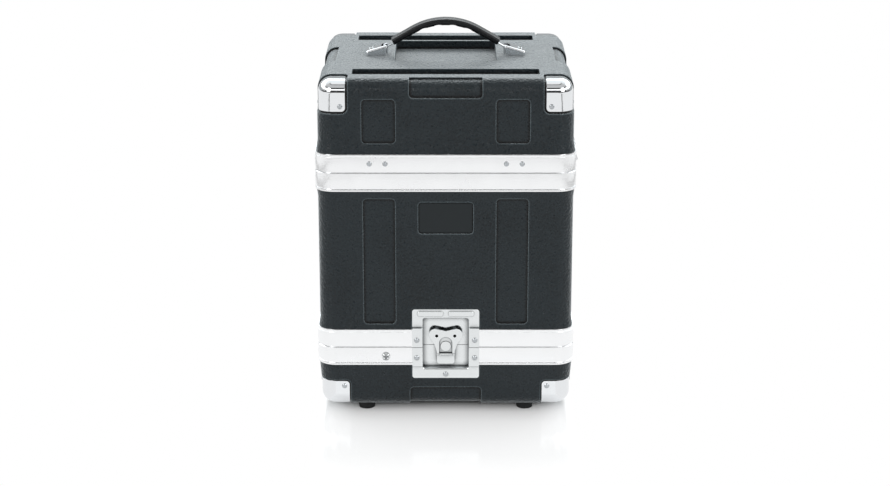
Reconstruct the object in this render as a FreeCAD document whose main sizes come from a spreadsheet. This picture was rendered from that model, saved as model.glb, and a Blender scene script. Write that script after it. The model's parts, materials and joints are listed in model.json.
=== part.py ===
"""Wireless microphone case: moulded lid, body and base, edge frames, corners, latches, hinges and handle.

Millimetres, +Z up. The origin is on the floor under the middle of the case. The front looks along -Y.
"""
import FreeCAD
import Part
import Sketcher

import math
import operator
import os
from types import SimpleNamespace

from FreeCAD import Placement, Rotation, Vector

SIZES = {
    # The three sections, from the floor up
    "frame_width": 400.0,
    "frame_depth": 400.0,
    "frame_corner_radius": 30.0,
    "foot_height": 15.0,
    "base_height": 100.0,
    "body_height": 280.0,
    "lid_height": 142.7,
    # Clearances and cuts
    "cut_overrun": 2.0,
    "seat_clearance": 0.3,
    "running_clearance": 0.05,
    # Section of the edge frame, from its outer face inwards and from the seam away
    "frame_height": 29.0,
    "seam_gap": 0.4,
    "web_thickness": 1.8,
    "web_edge_inset": 0.5,
    "web_crown_radius": 145.0,
    "web_seam_chamfer": 0.8,
    "bead_height": 3.6,
    "bead_crown_radius": 6.0,
    "bead_inset": 0.4,
    "bead_groove_height": 1.4,
    "bead_groove_depth": 0.6,
    "ledge_thickness": 5.4,
    "channel_width": 5.6,
    "inner_wall_thickness": 1.8,
    "inner_wall_height": 16.0,
    "tongue_inset": 5.0,
    "tongue_width": 2.0,
    "tongue_height": 3.2,
    "groove_depth": 4.0,
    "groove_outer_clearance": 0.6,
    "groove_inner_clearance": 1.0,
    "shelf_width": 6.3,
    "shelf_thickness": 1.6,
    # Moulded shells
    "shell_wall": 5.0,
    "lid_wall": 6.4,
    "shell_edge_inset": 2.1,
    "lid_inset": 4.8,
    "lid_flare_height": 18.0,
    "lid_edge_radius": 21.0,
    "body_inset": 4.0,
    "body_flare_height": 14.0,
    "base_inset": 4.6,
    "base_flare_height": 30.0,
    "base_edge_radius": 20.0,
    # Recessed panels on the four sides, and the bare badge place
    "panel_offset": 102.0,
    "panel_depth": 2.0,
    "panel_radius": 6.0,
    "lid_panel_width": 51.0,
    "lid_panel_bottom": 16.0,
    "lid_panel_height": 68.0,
    "body_panel_width": 49.0,
    "body_panel_bottom": 8.0,
    "body_panel_height": 201.0,
    "badge_recess_width": 84.0,
    "badge_recess_height": 50.0,
    "badge_recess_depth": 2.6,
    "badge_recess_radius": 5.0,
    "badge_below_frame": 18.0,
    "badge_margin": 1.5,
    "badge_thickness": 1.2,
    # Stacking notches in the top and bottom edges, and the recesses of the lid's top
    "notch_width": 111.0,
    "notch_reach": 23.0,
    "lid_notch_height": 27.7,
    "base_notch_height": 32.0,
    "notch_radius": 6.0,
    "groove_length": 287.0,
    "groove_width": 38.0,
    "groove_sink": 9.0,
    "groove_corner_radius": 3.0,
    "groove_from_face": 69.0,
    "hand_recess_width": 161.0,
    "hand_recess_length": 158.0,
    "hand_recess_sink": 13.4,
    "hand_recess_radius": 9.0,
    "hand_recess_shift": 26.0,
    # Steel corners, and the depth of their recesses and of the notches
    "lid_corner_leg": 43.5,
    "lid_corner_drop": 48.7,
    "lid_corner_recess": 3.6,
    "lid_corner_gap": 3.2,
    "base_corner_leg": 45.0,
    "base_corner_drop": 42.0,
    "base_corner_recess": 2.6,
    "base_corner_gap": 2.0,
    "corner_thickness": 1.5,
    "corner_rounding": 6.0,
    "corner_rivet_margin": 8.0,
    # Rivets
    "rivet_radius": 4.0,
    "rivet_height": 1.6,
    "rivet_rim": 0.5,
    "rivet_crown_radius": 2.4,
    # Twist latch, about the seam and outwards from the frame
    "latch_half_width": 52.0,
    "latch_keeper_height": 61.0,
    "latch_dish_height": 52.0,
    "latch_corner_radius": 4.0,
    "latch_sheet": 1.5,
    "dish_half_width": 35.5,
    "dish_keeper_height": 46.0,
    "dish_lower_height": 36.0,
    "dish_depth": 14.0,
    "dish_wall": 1.2,
    "latch_seat_depth": 4.6,
    "latch_split": 0.3,
    "latch_cutout_clearance": 0.4,
    "latch_rivet_offset": 45.0,
    "latch_rivet_keeper": 12.0,
    "latch_rivet_lower": 17.0,
    "latch_rivet_end": 6.5,
    "dish_corner_radius": 4.0,
    "keeper_pad_width": 40.0,
    "keeper_pad_height": 9.0,
    "keeper_pad_rise": 1.4,
    "keeper_pad_offset": 24.0,
    "keeper_pad_radius": 3.0,
    "hook_lift": 8.0,
    "hook_thickness": 1.6,
    "hook_half_width": 11.6,
    "hook_top": 15.0,
    "hook_bottom": 25.0,
    "hook_corner_radius": 3.0,
    "hook_slot_length": 14.0,
    "hook_slot_slack": 1.0,
    "latch_layer_gap": 0.4,
    "bracket_thickness": 1.6,
    "bracket_leg": 1.8,
    "bracket_top": 9.0,
    "bracket_bottom": 30.0,
    "bracket_corner_radius": 4.0,
    "spindle_radius": 4.0,
    "spindle_under_radius": 7.0,
    "spindle_under_thickness": 1.2,
    "spindle_pin_radius": 2.5,
    "arch_half_width": 9.6,
    "arch_middle_rise": 5.6,
    "arch_thickness": 1.2,
    "hub_radius": 8.0,
    "hub_height": 1.4,
    "wing_pin_radius": 0.8,
    "wing_pin_rise": 2.2,
    "wing_pin_drop": 12.5,
    "wing_pin_overhang": 0.4,
    "wing_eye_radius": 1.9,
    "wing_arch_gap": 0.6,
    "wing_thickness": 1.6,
    "wing_leg_half_width": 14.0,
    "wing_leg_drop": 8.0,
    "wing_waist_half_width": 17.6,
    "wing_waist_rise": 3.5,
    "wing_lobe_offset": 16.5,
    "wing_lobe_height": 19.5,
    "wing_lobe_radius": 9.5,
    "wing_dip": 25.4,
    "wing_hole_offset": 14.0,
    "wing_hole_height": 17.5,
    "wing_hole_radius": 2.4,
    # Hinges
    "hinge_length": 64.0,
    "hinge_leaf_height": 25.0,
    "hinge_leaf_thickness": 1.6,
    "hinge_leaf_radius": 3.0,
    "hinge_axis_rise": 2.8,
    "hinge_knuckle_radius": 2.7,
    "hinge_knuckle_length": 23.0,
    "hinge_knuckle_gap": 0.4,
    "hinge_pin_radius": 1.5,
    "hinge_rivet_offset": 20.0,
    "hinge_rivet_height": 14.5,
    "lid_hinge_offset": 80.0,
    "base_hinge_offset": 100.0,
    # Feet
    "foot_radius": 12.5,
    "foot_top_radius": 14.5,
    "foot_from_side": 75.0,
    "foot_from_face": 45.0,
    "foot_bore_radius": 5.5,
    "foot_bore_height": 6.0,
    "foot_screw_radius": 4.5,
    "foot_screw_height": 2.6,
    # Handle on the lid
    "grip_arc_radius": 104.0,
    "grip_half_span": 83.5,
    "grip_thickness": 10.0,
    "grip_width": 26.0,
    "grip_rounding": 3.6,
    "grip_top_height": 58.0,
    "scallop_radius": 16.0,
    "scallop_bite": 1.6,
    "strap_drop": 2.0,
    "strap_thickness": 1.5,
    "strap_width": 19.0,
    "strap_head_width": 24.0,
    "strap_head_length": 3.6,
    "cap_inner_end": 92.0,
    "cap_length": 34.0,
    "cap_width": 28.0,
    "cap_mouth_height": 17.0,
    "cap_outer_height": 7.0,
    "cap_wall": 1.4,
    "cap_rounding": 3.0,
    "cap_notch_length": 10.0,
    "cap_notch_width": 21.0,
    "cap_screw_radius": 3.6,
    "cap_screw_height": 1.8,
    "cap_screw_from_end": 8.0,
    # Inside
    "floor_thickness": 6.0,
    "floor_edge_inset": 11.0,
    "foam_inset": 11.0,
    "body_foam_top": 23.0,
    "body_foam_pad": 20.0,
    "mic_pocket_size": 58.0,
    "mic_pocket_radius": 16.0,
    "mic_side_margin": 21.0,
    "mic_front_wall": 62.0,
    "pack_pocket_length": 136.0,
    "pack_pocket_radius": 10.0,
    "pack_side_wall": 28.0,
    "pack_middle_wall": 22.0,
    "pack_rear_wall": 59.0,
    "base_foam_inset": 12.0,
    "base_foam_height": 78.0,
    "base_pocket_depth": 58.0,
    "base_pocket_radius": 12.0,
    "base_pocket_side_wall": 24.0,
    "base_pocket_middle_wall": 20.0,
    "base_pocket_end_wall": 23.0,
    "lid_foam_thickness": 28.0,
    "lid_foam_inset": 16.0,
    "tongue_plate_width": 44.0,
    "tongue_plate_height": 28.0,
    "tongue_plate_thickness": 2.0,
    "tongue_plate_offset": 104.0,
    "tongue_rivet_offset": 12.0,
    "frame_screw_radius": 6.5,
    "frame_screw_height": 3.0,
    "frame_screw_offset": 93.0,
}
GRIP_SLOPE = 30.0
SCALLOP_ANGLES = (-21.0, -7.0, 7.0, 21.0)
WING_LOBE_SHARES = (0.8, 0.6)
SAME_PLACE = 1e-6

ARITHMETIC = {"+": operator.add, "-": operator.sub, "*": operator.mul, "/": operator.truediv}


class Size:
    """A length worked out from the sheet: its number, and the formula that gives it."""

    def __init__(self, number, formula):
        self.number = number
        self.formula = formula

    def joined(self, sign, other, swapped=False):
        other = other if isinstance(other, Size) else Size(other, repr(other))
        first, second = (other, self) if swapped else (self, other)
        number = ARITHMETIC[sign](first.number, second.number)
        return Size(number, f"({first.formula} {sign} {second.formula})")

    def __add__(self, other):
        return self.joined("+", other)

    def __radd__(self, other):
        return self.joined("+", other, True)

    def __sub__(self, other):
        return self.joined("-", other)

    def __rsub__(self, other):
        return self.joined("-", other, True)

    def __mul__(self, other):
        return self.joined("*", other)

    def __rmul__(self, other):
        return self.joined("*", other, True)

    def __truediv__(self, other):
        return self.joined("/", other)

    def __neg__(self):
        return self.joined("-", 0, True)

    def __float__(self):
        return float(self.number)


doc = FreeCAD.newDocument("microphone_case")
sheet = doc.addObject("Spreadsheet::Sheet", "Sizes")
for row, (alias, value) in enumerate(SIZES.items(), start=1):
    sheet.set(f"A{row}", alias)
    sheet.set(f"B{row}", str(value))
    sheet.setAlias(f"B{row}", alias)
doc.recompute()
dim = SimpleNamespace(**{alias: Size(value, f"Sizes.{alias}") for alias, value in SIZES.items()})

# Levels and faces that several pieces share
half_width = dim.frame_width / 2
half_depth = dim.frame_depth / 2
half_gap = dim.seam_gap / 2
base_bottom = dim.foot_height
low_seam = base_bottom + dim.base_height
high_seam = low_seam + dim.body_height
lid_top = high_seam + dim.lid_height
frame_reach = half_gap + dim.frame_height
shell_edge = half_gap + dim.ledge_thickness + dim.seat_clearance
frame_inner_face = dim.web_thickness + dim.channel_width + dim.inner_wall_thickness
nothing = 0 * half_gap
FRONT, RIGHT, REAR, LEFT = 0, 90, 180, 270
SIDES = {"front": FRONT, "right": RIGHT, "rear": REAR, "left": LEFT}
finished = {}


def number(value):
    return float(value)


def bind(thing, **sizes):
    """Ties properties of a document object to the sheet."""
    for name, value in sizes.items():
        thing.setExpression(name.replace("__", "."), value.formula)


def place(thing, x=0, y=0, z=0, turn=FRONT):
    """Puts a piece that was made for the front at a side of the case, turned about the upright axis."""
    x, y = {FRONT: (x, y), RIGHT: (-y, x), REAR: (-x, -y), LEFT: (y, -x)}[turn]
    upright = Rotation(Vector(0, 0, 1), turn)
    thing.Placement = Placement(Vector(number(x), number(y), number(z)), upright * thing.Placement.Rotation)
    for axis, value in (("x", x), ("y", y), ("z", z)):
        if isinstance(value, Size):
            thing.setExpression(f"Placement.Base.{axis}", value.formula)
    return thing


def face_distance(side):
    """From the middle of the case to the outer face of its frames on one side."""
    return half_depth if side in (FRONT, REAR) else half_width


def box(name, low, high):
    """Block between two corners."""
    block = doc.addObject("Part::Box", name)
    bind(block, Length=high[0] - low[0], Width=high[1] - low[1], Height=high[2] - low[2])
    return place(block, *low)


def cylinder(name, radius, length, start, axis):
    """Round bar from a start point along an axis."""
    bar = doc.addObject("Part::Cylinder", name)
    bind(bar, Radius=radius, Height=length)
    bar.Placement = Placement(Vector(), Rotation(Vector(0, 0, 1), Vector(*axis)))
    return place(bar, *start)


def fuse(name, *pieces):
    if len(pieces) == 1:
        return pieces[0]
    joined = doc.addObject("Part::MultiFuse", name)
    joined.Shapes = list(pieces)
    joined.Refine = True
    return joined


def cut(name, base, *tools):
    """What is left of base when all the tools are taken away."""
    rest = doc.addObject("Part::Cut", name)
    rest.Base = base
    rest.Tool = fuse(f"{name}_tools", *tools)
    rest.Refine = True
    return rest


def common(name, *pieces):
    shared = doc.addObject("Part::MultiCommon", name)
    shared.Shapes = list(pieces)
    return shared


def mirrored(name, source, normal):
    copy = doc.addObject("Part::Mirroring", name)
    copy.Source = source
    copy.Normal = Vector(*normal)
    return copy


def rounded(name, base, radius, chosen):
    """Base with the edges that the test chooses rounded off."""
    doc.recompute()
    result = doc.addObject("Part::Fillet", name)
    result.Base = base
    numbered = enumerate(base.Shape.Edges, start=1)
    result.Edges = [(index, number(radius), number(radius)) for index, edge in numbered if chosen(edge)]
    return result


def node(name, piece):
    """Names a finished sub-part."""
    piece.Label = name
    finished[name] = piece
    return piece


def new_sketch(body, name, role, offset=None):
    """Sketch on one of the body's own origin planes, at a distance along the plane's normal."""
    drawing = body.newObject("Sketcher::SketchObject", name)
    support = next(feature for feature in body.Origin.OriginFeatures if feature.Role == role)
    drawing.AttachmentSupport = (support, [""])
    drawing.MapMode = "FlatFace"
    if isinstance(offset, Size):
        drawing.setExpression("AttachmentOffset.Base.z", offset.formula)
    return drawing


def hold(drawing, kind, *where, value):
    """Adds one dimension to a sketch and ties it to the sheet."""
    index = drawing.addConstraint(Sketcher.Constraint(kind, *where, number(value)))
    if isinstance(value, Size):
        drawing.setExpression(f"Constraints[{index}]", value.formula)


def rounded_rectangle(drawing, width, depth, radius):
    """Rectangle about the sketch's origin with round corners, starting at the top of its left side."""
    x, y, r = number(width) / 2, number(depth) / 2, number(radius)
    upright = Vector(0, 0, 1)
    middles = ((r - x, r - y), (x - r, r - y), (x - r, y - r), (r - x, y - r))
    sides = (((-x, y - r), (-x, r - y)), ((r - x, -y), (x - r, -y)),
             ((x, r - y), (x, y - r)), ((x - r, y), (r - x, y)))
    for quarter, (side, middle) in enumerate(zip(sides, middles)):
        drawing.addGeometry(Part.LineSegment(*[Vector(*point, 0) for point in side]), False)
        circle = Part.Circle(Vector(*middle, 0), upright, r)
        start = math.pi + quarter * math.pi / 2
        drawing.addGeometry(Part.ArcOfCircle(circle, start, start + math.pi / 2), False)
    rule = Sketcher.Constraint
    drawing.addConstraint([rule("Tangent", run, 2, (run + 1) % 8, 1) for run in range(8)])
    drawing.addConstraint([rule("Vertical", side) for side in (0, 4)])
    drawing.addConstraint([rule("Horizontal", side) for side in (2, 6)])
    drawing.addConstraint([rule("Equal", 1, arc) for arc in (3, 5, 7)])
    drawing.addConstraint(rule("Symmetric", 1, 3, 5, 3, -1, 1))
    hold(drawing, "DistanceX", 0, 1, 4, 1, value=width)
    hold(drawing, "DistanceY", 2, 1, 6, 1, value=depth)
    hold(drawing, "Radius", 1, value=radius)


def outline(drawing, corners):
    """Closed outline. A corner with a radius starts an arc, which bulges right of the run for side 1."""
    count = len(corners)
    points = [Vector(number(corner[0]), number(corner[1]), 0) for corner in corners]
    ends = []
    for index, corner in enumerate(corners):
        first, last = points[index], points[(index + 1) % count]
        if len(corner) == 2:
            drawing.addGeometry(Part.LineSegment(first, last), False)
            ends.append((1, 2))
            continue
        radius, side = number(corner[2]), corner[3]
        chord = last.sub(first)
        rise = radius - math.sqrt(radius ** 2 - (chord.Length / 2) ** 2)
        away = Vector(chord.y, -chord.x, 0).normalize() * (side * rise)
        arc = Part.Arc(first, (first + last) * 0.5 + away, last)
        drawing.addGeometry(arc, False)
        ends.append((1, 2) if side > 0 else (2, 1))
    for index, corner in enumerate(corners):
        after = (index + 1) % count
        drawing.addConstraint(Sketcher.Constraint("Coincident", index, ends[index][1], after, ends[after][0]))
    for index, corner in enumerate(corners):
        hold(drawing, "DistanceX", -1, 1, index, ends[index][0], value=corner[0])
        hold(drawing, "DistanceY", -1, 1, index, ends[index][0], value=corner[1])
        if len(corner) > 2:
            hold(drawing, "Radius", index, value=corner[2])


def padded(body, drawing, length, inwards=False, both=False):
    """Pad of a sketch, along its plane's normal unless it goes inwards."""
    pad = body.newObject("PartDesign::Pad", f"{drawing.Name}_pad")
    pad.Profile = drawing
    bind(pad, Length=length)
    pad.Reversed = inwards
    pad.Midplane = both
    return pad


def plate(name, width, height, thickness, radius, role="XZ_Plane"):
    """Plate with round corners, centred on the origin. An upright one runs inwards, a flat one upwards."""
    body = doc.addObject("PartDesign::Body", name)
    drawing = new_sketch(body, f"{name}_outline", role)
    rounded_rectangle(drawing, width, height, radius)
    padded(body, drawing, thickness, inwards=role == "XZ_Plane")
    return body


def turned_solid(name, profile):
    """Solid of revolution about the upright axis, from an outline of (radius, height) corners."""
    body = doc.addObject("PartDesign::Body", name)
    drawing = new_sketch(body, f"{name}_profile", "XZ_Plane")
    outline(drawing, profile)
    spin = body.newObject("PartDesign::Revolution", f"{name}_spin")
    spin.Profile = drawing
    spin.ReferenceAxis = (drawing, ["V_Axis"])
    spin.Angle = 360.0
    return body


def group(name, source, places):
    """Identical small pieces in one node, each a separate solid."""
    doc.recompute()
    holder = doc.addObject("Part::Feature", name)
    holder.Shape = Part.makeCompound([source.Shape.transformed(spot.toMatrix()) for spot in places])
    return node(name, holder)


def spot(point, outward):
    """Place of a piece made upright at the origin, standing on a face with this outward normal."""
    return Placement(Vector(*[number(value) for value in point]), Rotation(Vector(0, 0, 1), Vector(*outward)))


def form(name, levels, closed_radius=None):
    """Solid through rounded rectangles, each a level and its distance in from the frames' outer face.

    The solid is drawn from the top down. With a closed radius, the edges of the last level are rounded.
    """
    body = doc.addObject("PartDesign::Body", name)
    drawings = []
    falling = sorted(levels, key=lambda level: number(level[0]), reverse=True)
    for index, (level, inset) in enumerate(falling):
        drawing = new_sketch(body, f"{name}_level_{index}", "XY_Plane", level)
        width = dim.frame_width - 2 * inset
        rounded_rectangle(drawing, width, dim.frame_depth - 2 * inset, dim.frame_corner_radius - inset)
        drawings.append(drawing)
    loft = body.newObject("PartDesign::AdditiveLoft", f"{name}_loft")
    loft.Profile = drawings[0]
    loft.Sections = drawings[1:]
    loft.Ruled = True
    if closed_radius is None:
        return body
    doc.recompute()
    end = number(levels[-1][0])
    rim = [f"Edge{index}" for index, edge in enumerate(loft.Shape.Edges, start=1)
           if abs(edge.BoundBox.ZMin - end) + abs(edge.BoundBox.ZMax - end) < SAME_PLACE]
    rounding = body.newObject("PartDesign::Fillet", f"{name}_rim")
    rounding.Base = (loft, rim)
    bind(rounding, Radius=closed_radius)
    return body


def recess(name, side, across, bottom, width, height, depth, radius, face_inset):
    """Tool for a shallow recess in one side of a shell, open to the outside."""
    tool = plate(name, width, height, depth + dim.cut_overrun, radius)
    face = face_distance(side) - face_inset + dim.cut_overrun
    return place(tool, across, -face, bottom + height / 2, side)


# Edge frames


def edge_frame(name, seam, way, tongue, shelf=False, latch_side=None):
    """One half of a frame: an extruded section, bent round the case and cut away where a latch sits.

    way is 1 for a half that stands on its seam and -1 for one below it.
    """
    body = doc.addObject("PartDesign::Body", f"{name}_bent")
    path = new_sketch(body, f"{name}_path", "XY_Plane", seam)
    rounded_rectangle(path, dim.frame_width, dim.frame_depth, dim.frame_corner_radius)
    section = new_sketch(body, f"{name}_section", "XZ_Plane", dim.frame_corner_radius - half_depth)
    bead_start = dim.frame_height - dim.bead_height
    wall_outer = dim.web_thickness + dim.channel_width
    profile = [
        (dim.web_edge_inset + dim.web_seam_chamfer, 0),
        (dim.web_edge_inset, dim.web_seam_chamfer, dim.web_crown_radius, -way),
        (dim.web_edge_inset, bead_start - dim.bead_groove_height),
        (dim.web_edge_inset + dim.bead_groove_depth, bead_start - dim.bead_groove_height),
        (dim.web_edge_inset + dim.bead_groove_depth, bead_start),
        (dim.bead_inset, bead_start, dim.bead_crown_radius, -way),
        (dim.bead_inset, dim.frame_height),
        (dim.web_thickness, dim.frame_height),
        (dim.web_thickness, dim.ledge_thickness),
        (wall_outer, dim.ledge_thickness),
        (wall_outer, dim.inner_wall_height),
        (frame_inner_face, dim.inner_wall_height),
    ]
    if shelf:
        profile += [
            (frame_inner_face, dim.shelf_thickness),
            (frame_inner_face + dim.shelf_width, dim.shelf_thickness),
            (frame_inner_face + dim.shelf_width, 0),
        ]
    else:
        profile += [(frame_inner_face, 0)]
    if tongue:
        near, far, reach = dim.tongue_inset, dim.tongue_inset + dim.tongue_width, -dim.tongue_height
    else:
        near = dim.tongue_inset - dim.groove_outer_clearance
        far = dim.tongue_inset + dim.tongue_width + dim.groove_inner_clearance
        reach = dim.groove_depth
    profile += [(far, 0), (far, reach), (near, reach), (near, 0)]
    corners = []
    for inset, rise, *arc in profile:
        corners.append((inset - half_width, seam + way * (half_gap + rise), *arc))
    outline(section, corners)
    sweep = body.newObject("PartDesign::AdditivePipe", f"{name}_sweep")
    sweep.Profile = section
    sweep.Spine = (path, [])
    if latch_side is None:
        return node(name, body)
    return node(name, cut(name, body, latch_gap(f"{name}_gap", latch_side, seam)))


def latch_gap(name, side, seam):
    """Tool for the gap in a pair of frames where a latch dish goes in."""
    half = dim.dish_half_width + dim.dish_wall + dim.latch_cutout_clearance
    reach = frame_reach + dim.cut_overrun
    depth = frame_inner_face + dim.shelf_width + 2 * dim.cut_overrun
    tool = box(name, (-half, 0, 0), (half, depth, 2 * reach))
    return place(tool, -half, -(face_distance(side) + dim.cut_overrun), seam - reach, side)


edge_frame("base_frame", low_seam, -1, tongue=True, latch_side=FRONT)
edge_frame("body_lower_frame", low_seam, 1, tongue=False, shelf=True, latch_side=FRONT)
edge_frame("body_upper_frame", high_seam, -1, tongue=True, latch_side=LEFT)
edge_frame("lid_frame", high_seam, 1, tongue=False, latch_side=LEFT)

# Moulded shells


def lid_levels(grow):
    """Levels of the lid's outside, grown outwards."""
    return [
        (high_seam + shell_edge, dim.shell_edge_inset - grow),
        (high_seam + frame_reach, dim.shell_edge_inset - grow),
        (high_seam + frame_reach + dim.lid_flare_height, dim.lid_inset - grow),
        (lid_top + grow, dim.lid_inset - grow),
    ]


def lid_inner_levels():
    """Levels of the lid's inside. Above the frame its wall is thicker than at the rim."""
    rim_inset, inset = dim.shell_edge_inset + dim.shell_wall, dim.lid_inset + dim.lid_wall
    return [
        (high_seam + shell_edge - dim.cut_overrun, rim_inset),
        (high_seam + frame_reach, rim_inset),
        (high_seam + frame_reach + dim.lid_flare_height, inset),
        (lid_top - dim.lid_wall, inset),
    ]


def base_levels(grow, overrun=0):
    return [
        (low_seam - shell_edge + overrun, dim.shell_edge_inset - grow),
        (low_seam - frame_reach, dim.shell_edge_inset - grow),
        (low_seam - frame_reach - dim.base_flare_height, dim.base_inset - grow),
        (base_bottom - grow, dim.base_inset - grow),
    ]


def body_levels(grow, overrun=0):
    return [
        (low_seam + shell_edge - overrun, dim.shell_edge_inset - grow),
        (low_seam + frame_reach, dim.shell_edge_inset - grow),
        (low_seam + frame_reach + dim.body_flare_height, dim.body_inset - grow),
        (high_seam - frame_reach - dim.body_flare_height, dim.body_inset - grow),
        (high_seam - frame_reach, dim.shell_edge_inset - grow),
        (high_seam - shell_edge + overrun, dim.shell_edge_inset - grow),
    ]


def latch_seat(name, side, seam):
    """Tools for a latch in a shell: the window for its dish, and the flat seat for its flange."""
    half = dim.dish_half_width + dim.dish_wall + dim.latch_cutout_clearance
    high = dim.dish_keeper_height + dim.dish_wall + dim.latch_cutout_clearance
    low = dim.dish_lower_height + dim.dish_wall + dim.latch_cutout_clearance
    depth = dim.shell_edge_inset + dim.shell_wall + dim.lid_inset + dim.cut_overrun
    window = box(f"{name}_window", (-half, 0, 0), (half, depth, high + low))
    place(window, -half, -face_distance(side), seam - low, side)
    wide = dim.latch_half_width + dim.latch_cutout_clearance
    over = dim.latch_keeper_height + dim.latch_cutout_clearance
    under = dim.latch_dish_height + dim.latch_cutout_clearance
    seat = box(f"{name}_seat", (-wide, 0, 0), (wide, dim.latch_seat_depth, over + under))
    place(seat, -wide, -face_distance(side), seam - under, side)
    return window, seat


def corner_block(name, size, end, way, gap):
    """Block over the front left corner of a closed end, its inner corner rounded off on all three sides.

    size is the length of the corner's legs across and along its end, and of its upright legs.
    """
    leg, drop = size
    across, along = leg + gap - half_width, leg + gap - half_depth
    low, high = sorted((end - way * (drop + gap), end + way * dim.cut_overrun), key=number)
    outside = (-half_width - dim.cut_overrun, -half_depth - dim.cut_overrun, low)
    block = box(f"{name}_block", outside, (across, along, high))
    inner = Vector(number(across), number(along), number(end - way * (drop + gap)))

    def touches(edge):
        return min(vertex.Point.distanceToPoint(inner) for vertex in edge.Vertexes) < SAME_PLACE

    return rounded(name, block, dim.corner_rounding + gap, touches)


def four_corners(name, piece):
    """A front left piece and its mirror images at the other three corners."""
    across = mirrored(f"{name}_front_right", piece, (1, 0, 0))
    behind = mirrored(f"{name}_rear_left", piece, (0, 1, 0))
    opposite = mirrored(f"{name}_rear_right", across, (0, 1, 0))
    return {"front_left": piece, "front_right": across, "rear_left": behind, "rear_right": opposite}


def corner_depth(recess_depth):
    """How far the outer face of a steel corner lies below the shell's face."""
    return recess_depth - dim.seat_clearance - dim.corner_thickness


def corners(name, levels, end_radius, recess_depth, size, end, way):
    """Steel corners that lie in the recesses of a closed end."""
    back, face = recess_depth - dim.seat_clearance, corner_depth(recess_depth)
    seat_form = form(f"{name}_seat_form", levels(-back), end_radius - back)
    skin_form = form(f"{name}_skin_form", levels(-face), end_radius - face)
    block = corner_block(f"{name}_outline", size, end, way, nothing)
    piece = common(f"{name}_piece", block, cut(f"{name}_skin", skin_form, seat_form))
    for place_name, copy in four_corners(name, piece).items():
        node(f"{name}_{place_name}", copy)


def corner_recesses(name, inset_form, size, end, way, gap):
    """Tools for the recesses of the corners of a closed end."""
    room = corner_block(f"{name}_room", size, end, way, gap)
    return list(four_corners(f"{name}_recess", cut(f"{name}_recess", room, inset_form)).values())


def side_panels(name, inset, bottom, width, height):
    """Tools for the two upright panels on each side."""
    return [
        recess(f"{name}_panel_{word}_{index}", side, way * dim.panel_offset, bottom, width, height,
               dim.panel_depth, dim.panel_radius, inset)
        for word, side in SIDES.items()
        for index, way in enumerate((-1, 1))
    ]


def edge_notches(name, inset_form, inset, bottom, height):
    """Tools for the wide notch that runs over the rounded edge of each side of a closed end."""
    return [
        cut(f"{name}_notch_{word}",
            recess(f"{name}_notch_block_{word}", side, 0, bottom, dim.notch_width, height, dim.notch_reach,
                   dim.notch_radius, inset),
            inset_form)
        for word, side in SIDES.items()
    ]


def lid_top_recess(name, width, length, sink, radius, y, grow):
    """Tool for a recess in the lid's top, or with grow for the same recess seen from inside."""
    tool = plate(name, width + 2 * grow, length + 2 * grow, sink + dim.cut_overrun, radius + grow, "XY_Plane")
    return place(tool, 0, y, lid_top - sink - grow)


def lid_top_recesses(name, grow):
    groove_y = half_depth - dim.groove_from_face
    return [
        lid_top_recess(f"{name}_hand", dim.hand_recess_width, dim.hand_recess_length, dim.hand_recess_sink,
                       dim.hand_recess_radius, dim.hand_recess_shift, grow),
        lid_top_recess(f"{name}_groove_front", dim.groove_length, dim.groove_width, dim.groove_sink,
                       dim.groove_corner_radius, -groove_y, grow),
        lid_top_recess(f"{name}_groove_rear", dim.groove_length, dim.groove_width, dim.groove_sink,
                       dim.groove_corner_radius, groove_y, grow),
    ]


lid_outer = form("lid_outer_form", lid_levels(nothing), dim.lid_edge_radius)
lid_inner = form("lid_inner_form", lid_inner_levels(), dim.lid_edge_radius - dim.lid_wall)
lid_inset_form = form("lid_inset_form", lid_levels(-dim.lid_corner_recess),
                      dim.lid_edge_radius - dim.lid_corner_recess)
lid_corner_size = (dim.lid_inset + dim.lid_corner_leg, dim.lid_corner_drop)
corners("lid_corner", lid_levels, dim.lid_edge_radius, dim.lid_corner_recess, lid_corner_size, lid_top, 1)
lid_panel_bottom = high_seam + frame_reach + dim.lid_panel_bottom
lid_hollow = cut("lid_hollow", lid_inner, *lid_top_recesses("lid_inside", dim.lid_wall))
notch_overrun = dim.cut_overrun + dim.notch_radius
node("lid_shell", cut(
    "lid_shell", lid_outer, lid_hollow,
    *lid_top_recesses("lid_outside", nothing),
    *side_panels("lid", dim.lid_inset, lid_panel_bottom, dim.lid_panel_width, dim.lid_panel_height),
    *edge_notches("lid", lid_inset_form, dim.lid_inset, lid_top - dim.lid_notch_height,
                  dim.lid_notch_height + notch_overrun),
    *latch_seat("lid_latch", LEFT, high_seam),
    *corner_recesses("lid_corner", lid_inset_form, lid_corner_size, lid_top, 1, dim.lid_corner_gap),
))

body_outer = form("body_outer_form", body_levels(nothing))
body_inner = form("body_inner_form", body_levels(-dim.shell_wall, dim.cut_overrun))
body_panel_bottom = low_seam + frame_reach + dim.body_panel_bottom
badge_bottom = high_seam - frame_reach - dim.badge_below_frame - dim.badge_recess_height
node("body_shell", cut(
    "body_shell", body_outer, body_inner,
    *side_panels("body", dim.body_inset, body_panel_bottom, dim.body_panel_width, dim.body_panel_height),
    recess("badge_recess", FRONT, 0, badge_bottom, dim.badge_recess_width, dim.badge_recess_height,
           dim.badge_recess_depth, dim.badge_recess_radius, dim.body_inset),
    *latch_seat("body_front_latch", FRONT, low_seam),
    *latch_seat("body_side_latch", LEFT, high_seam),
))

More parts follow.
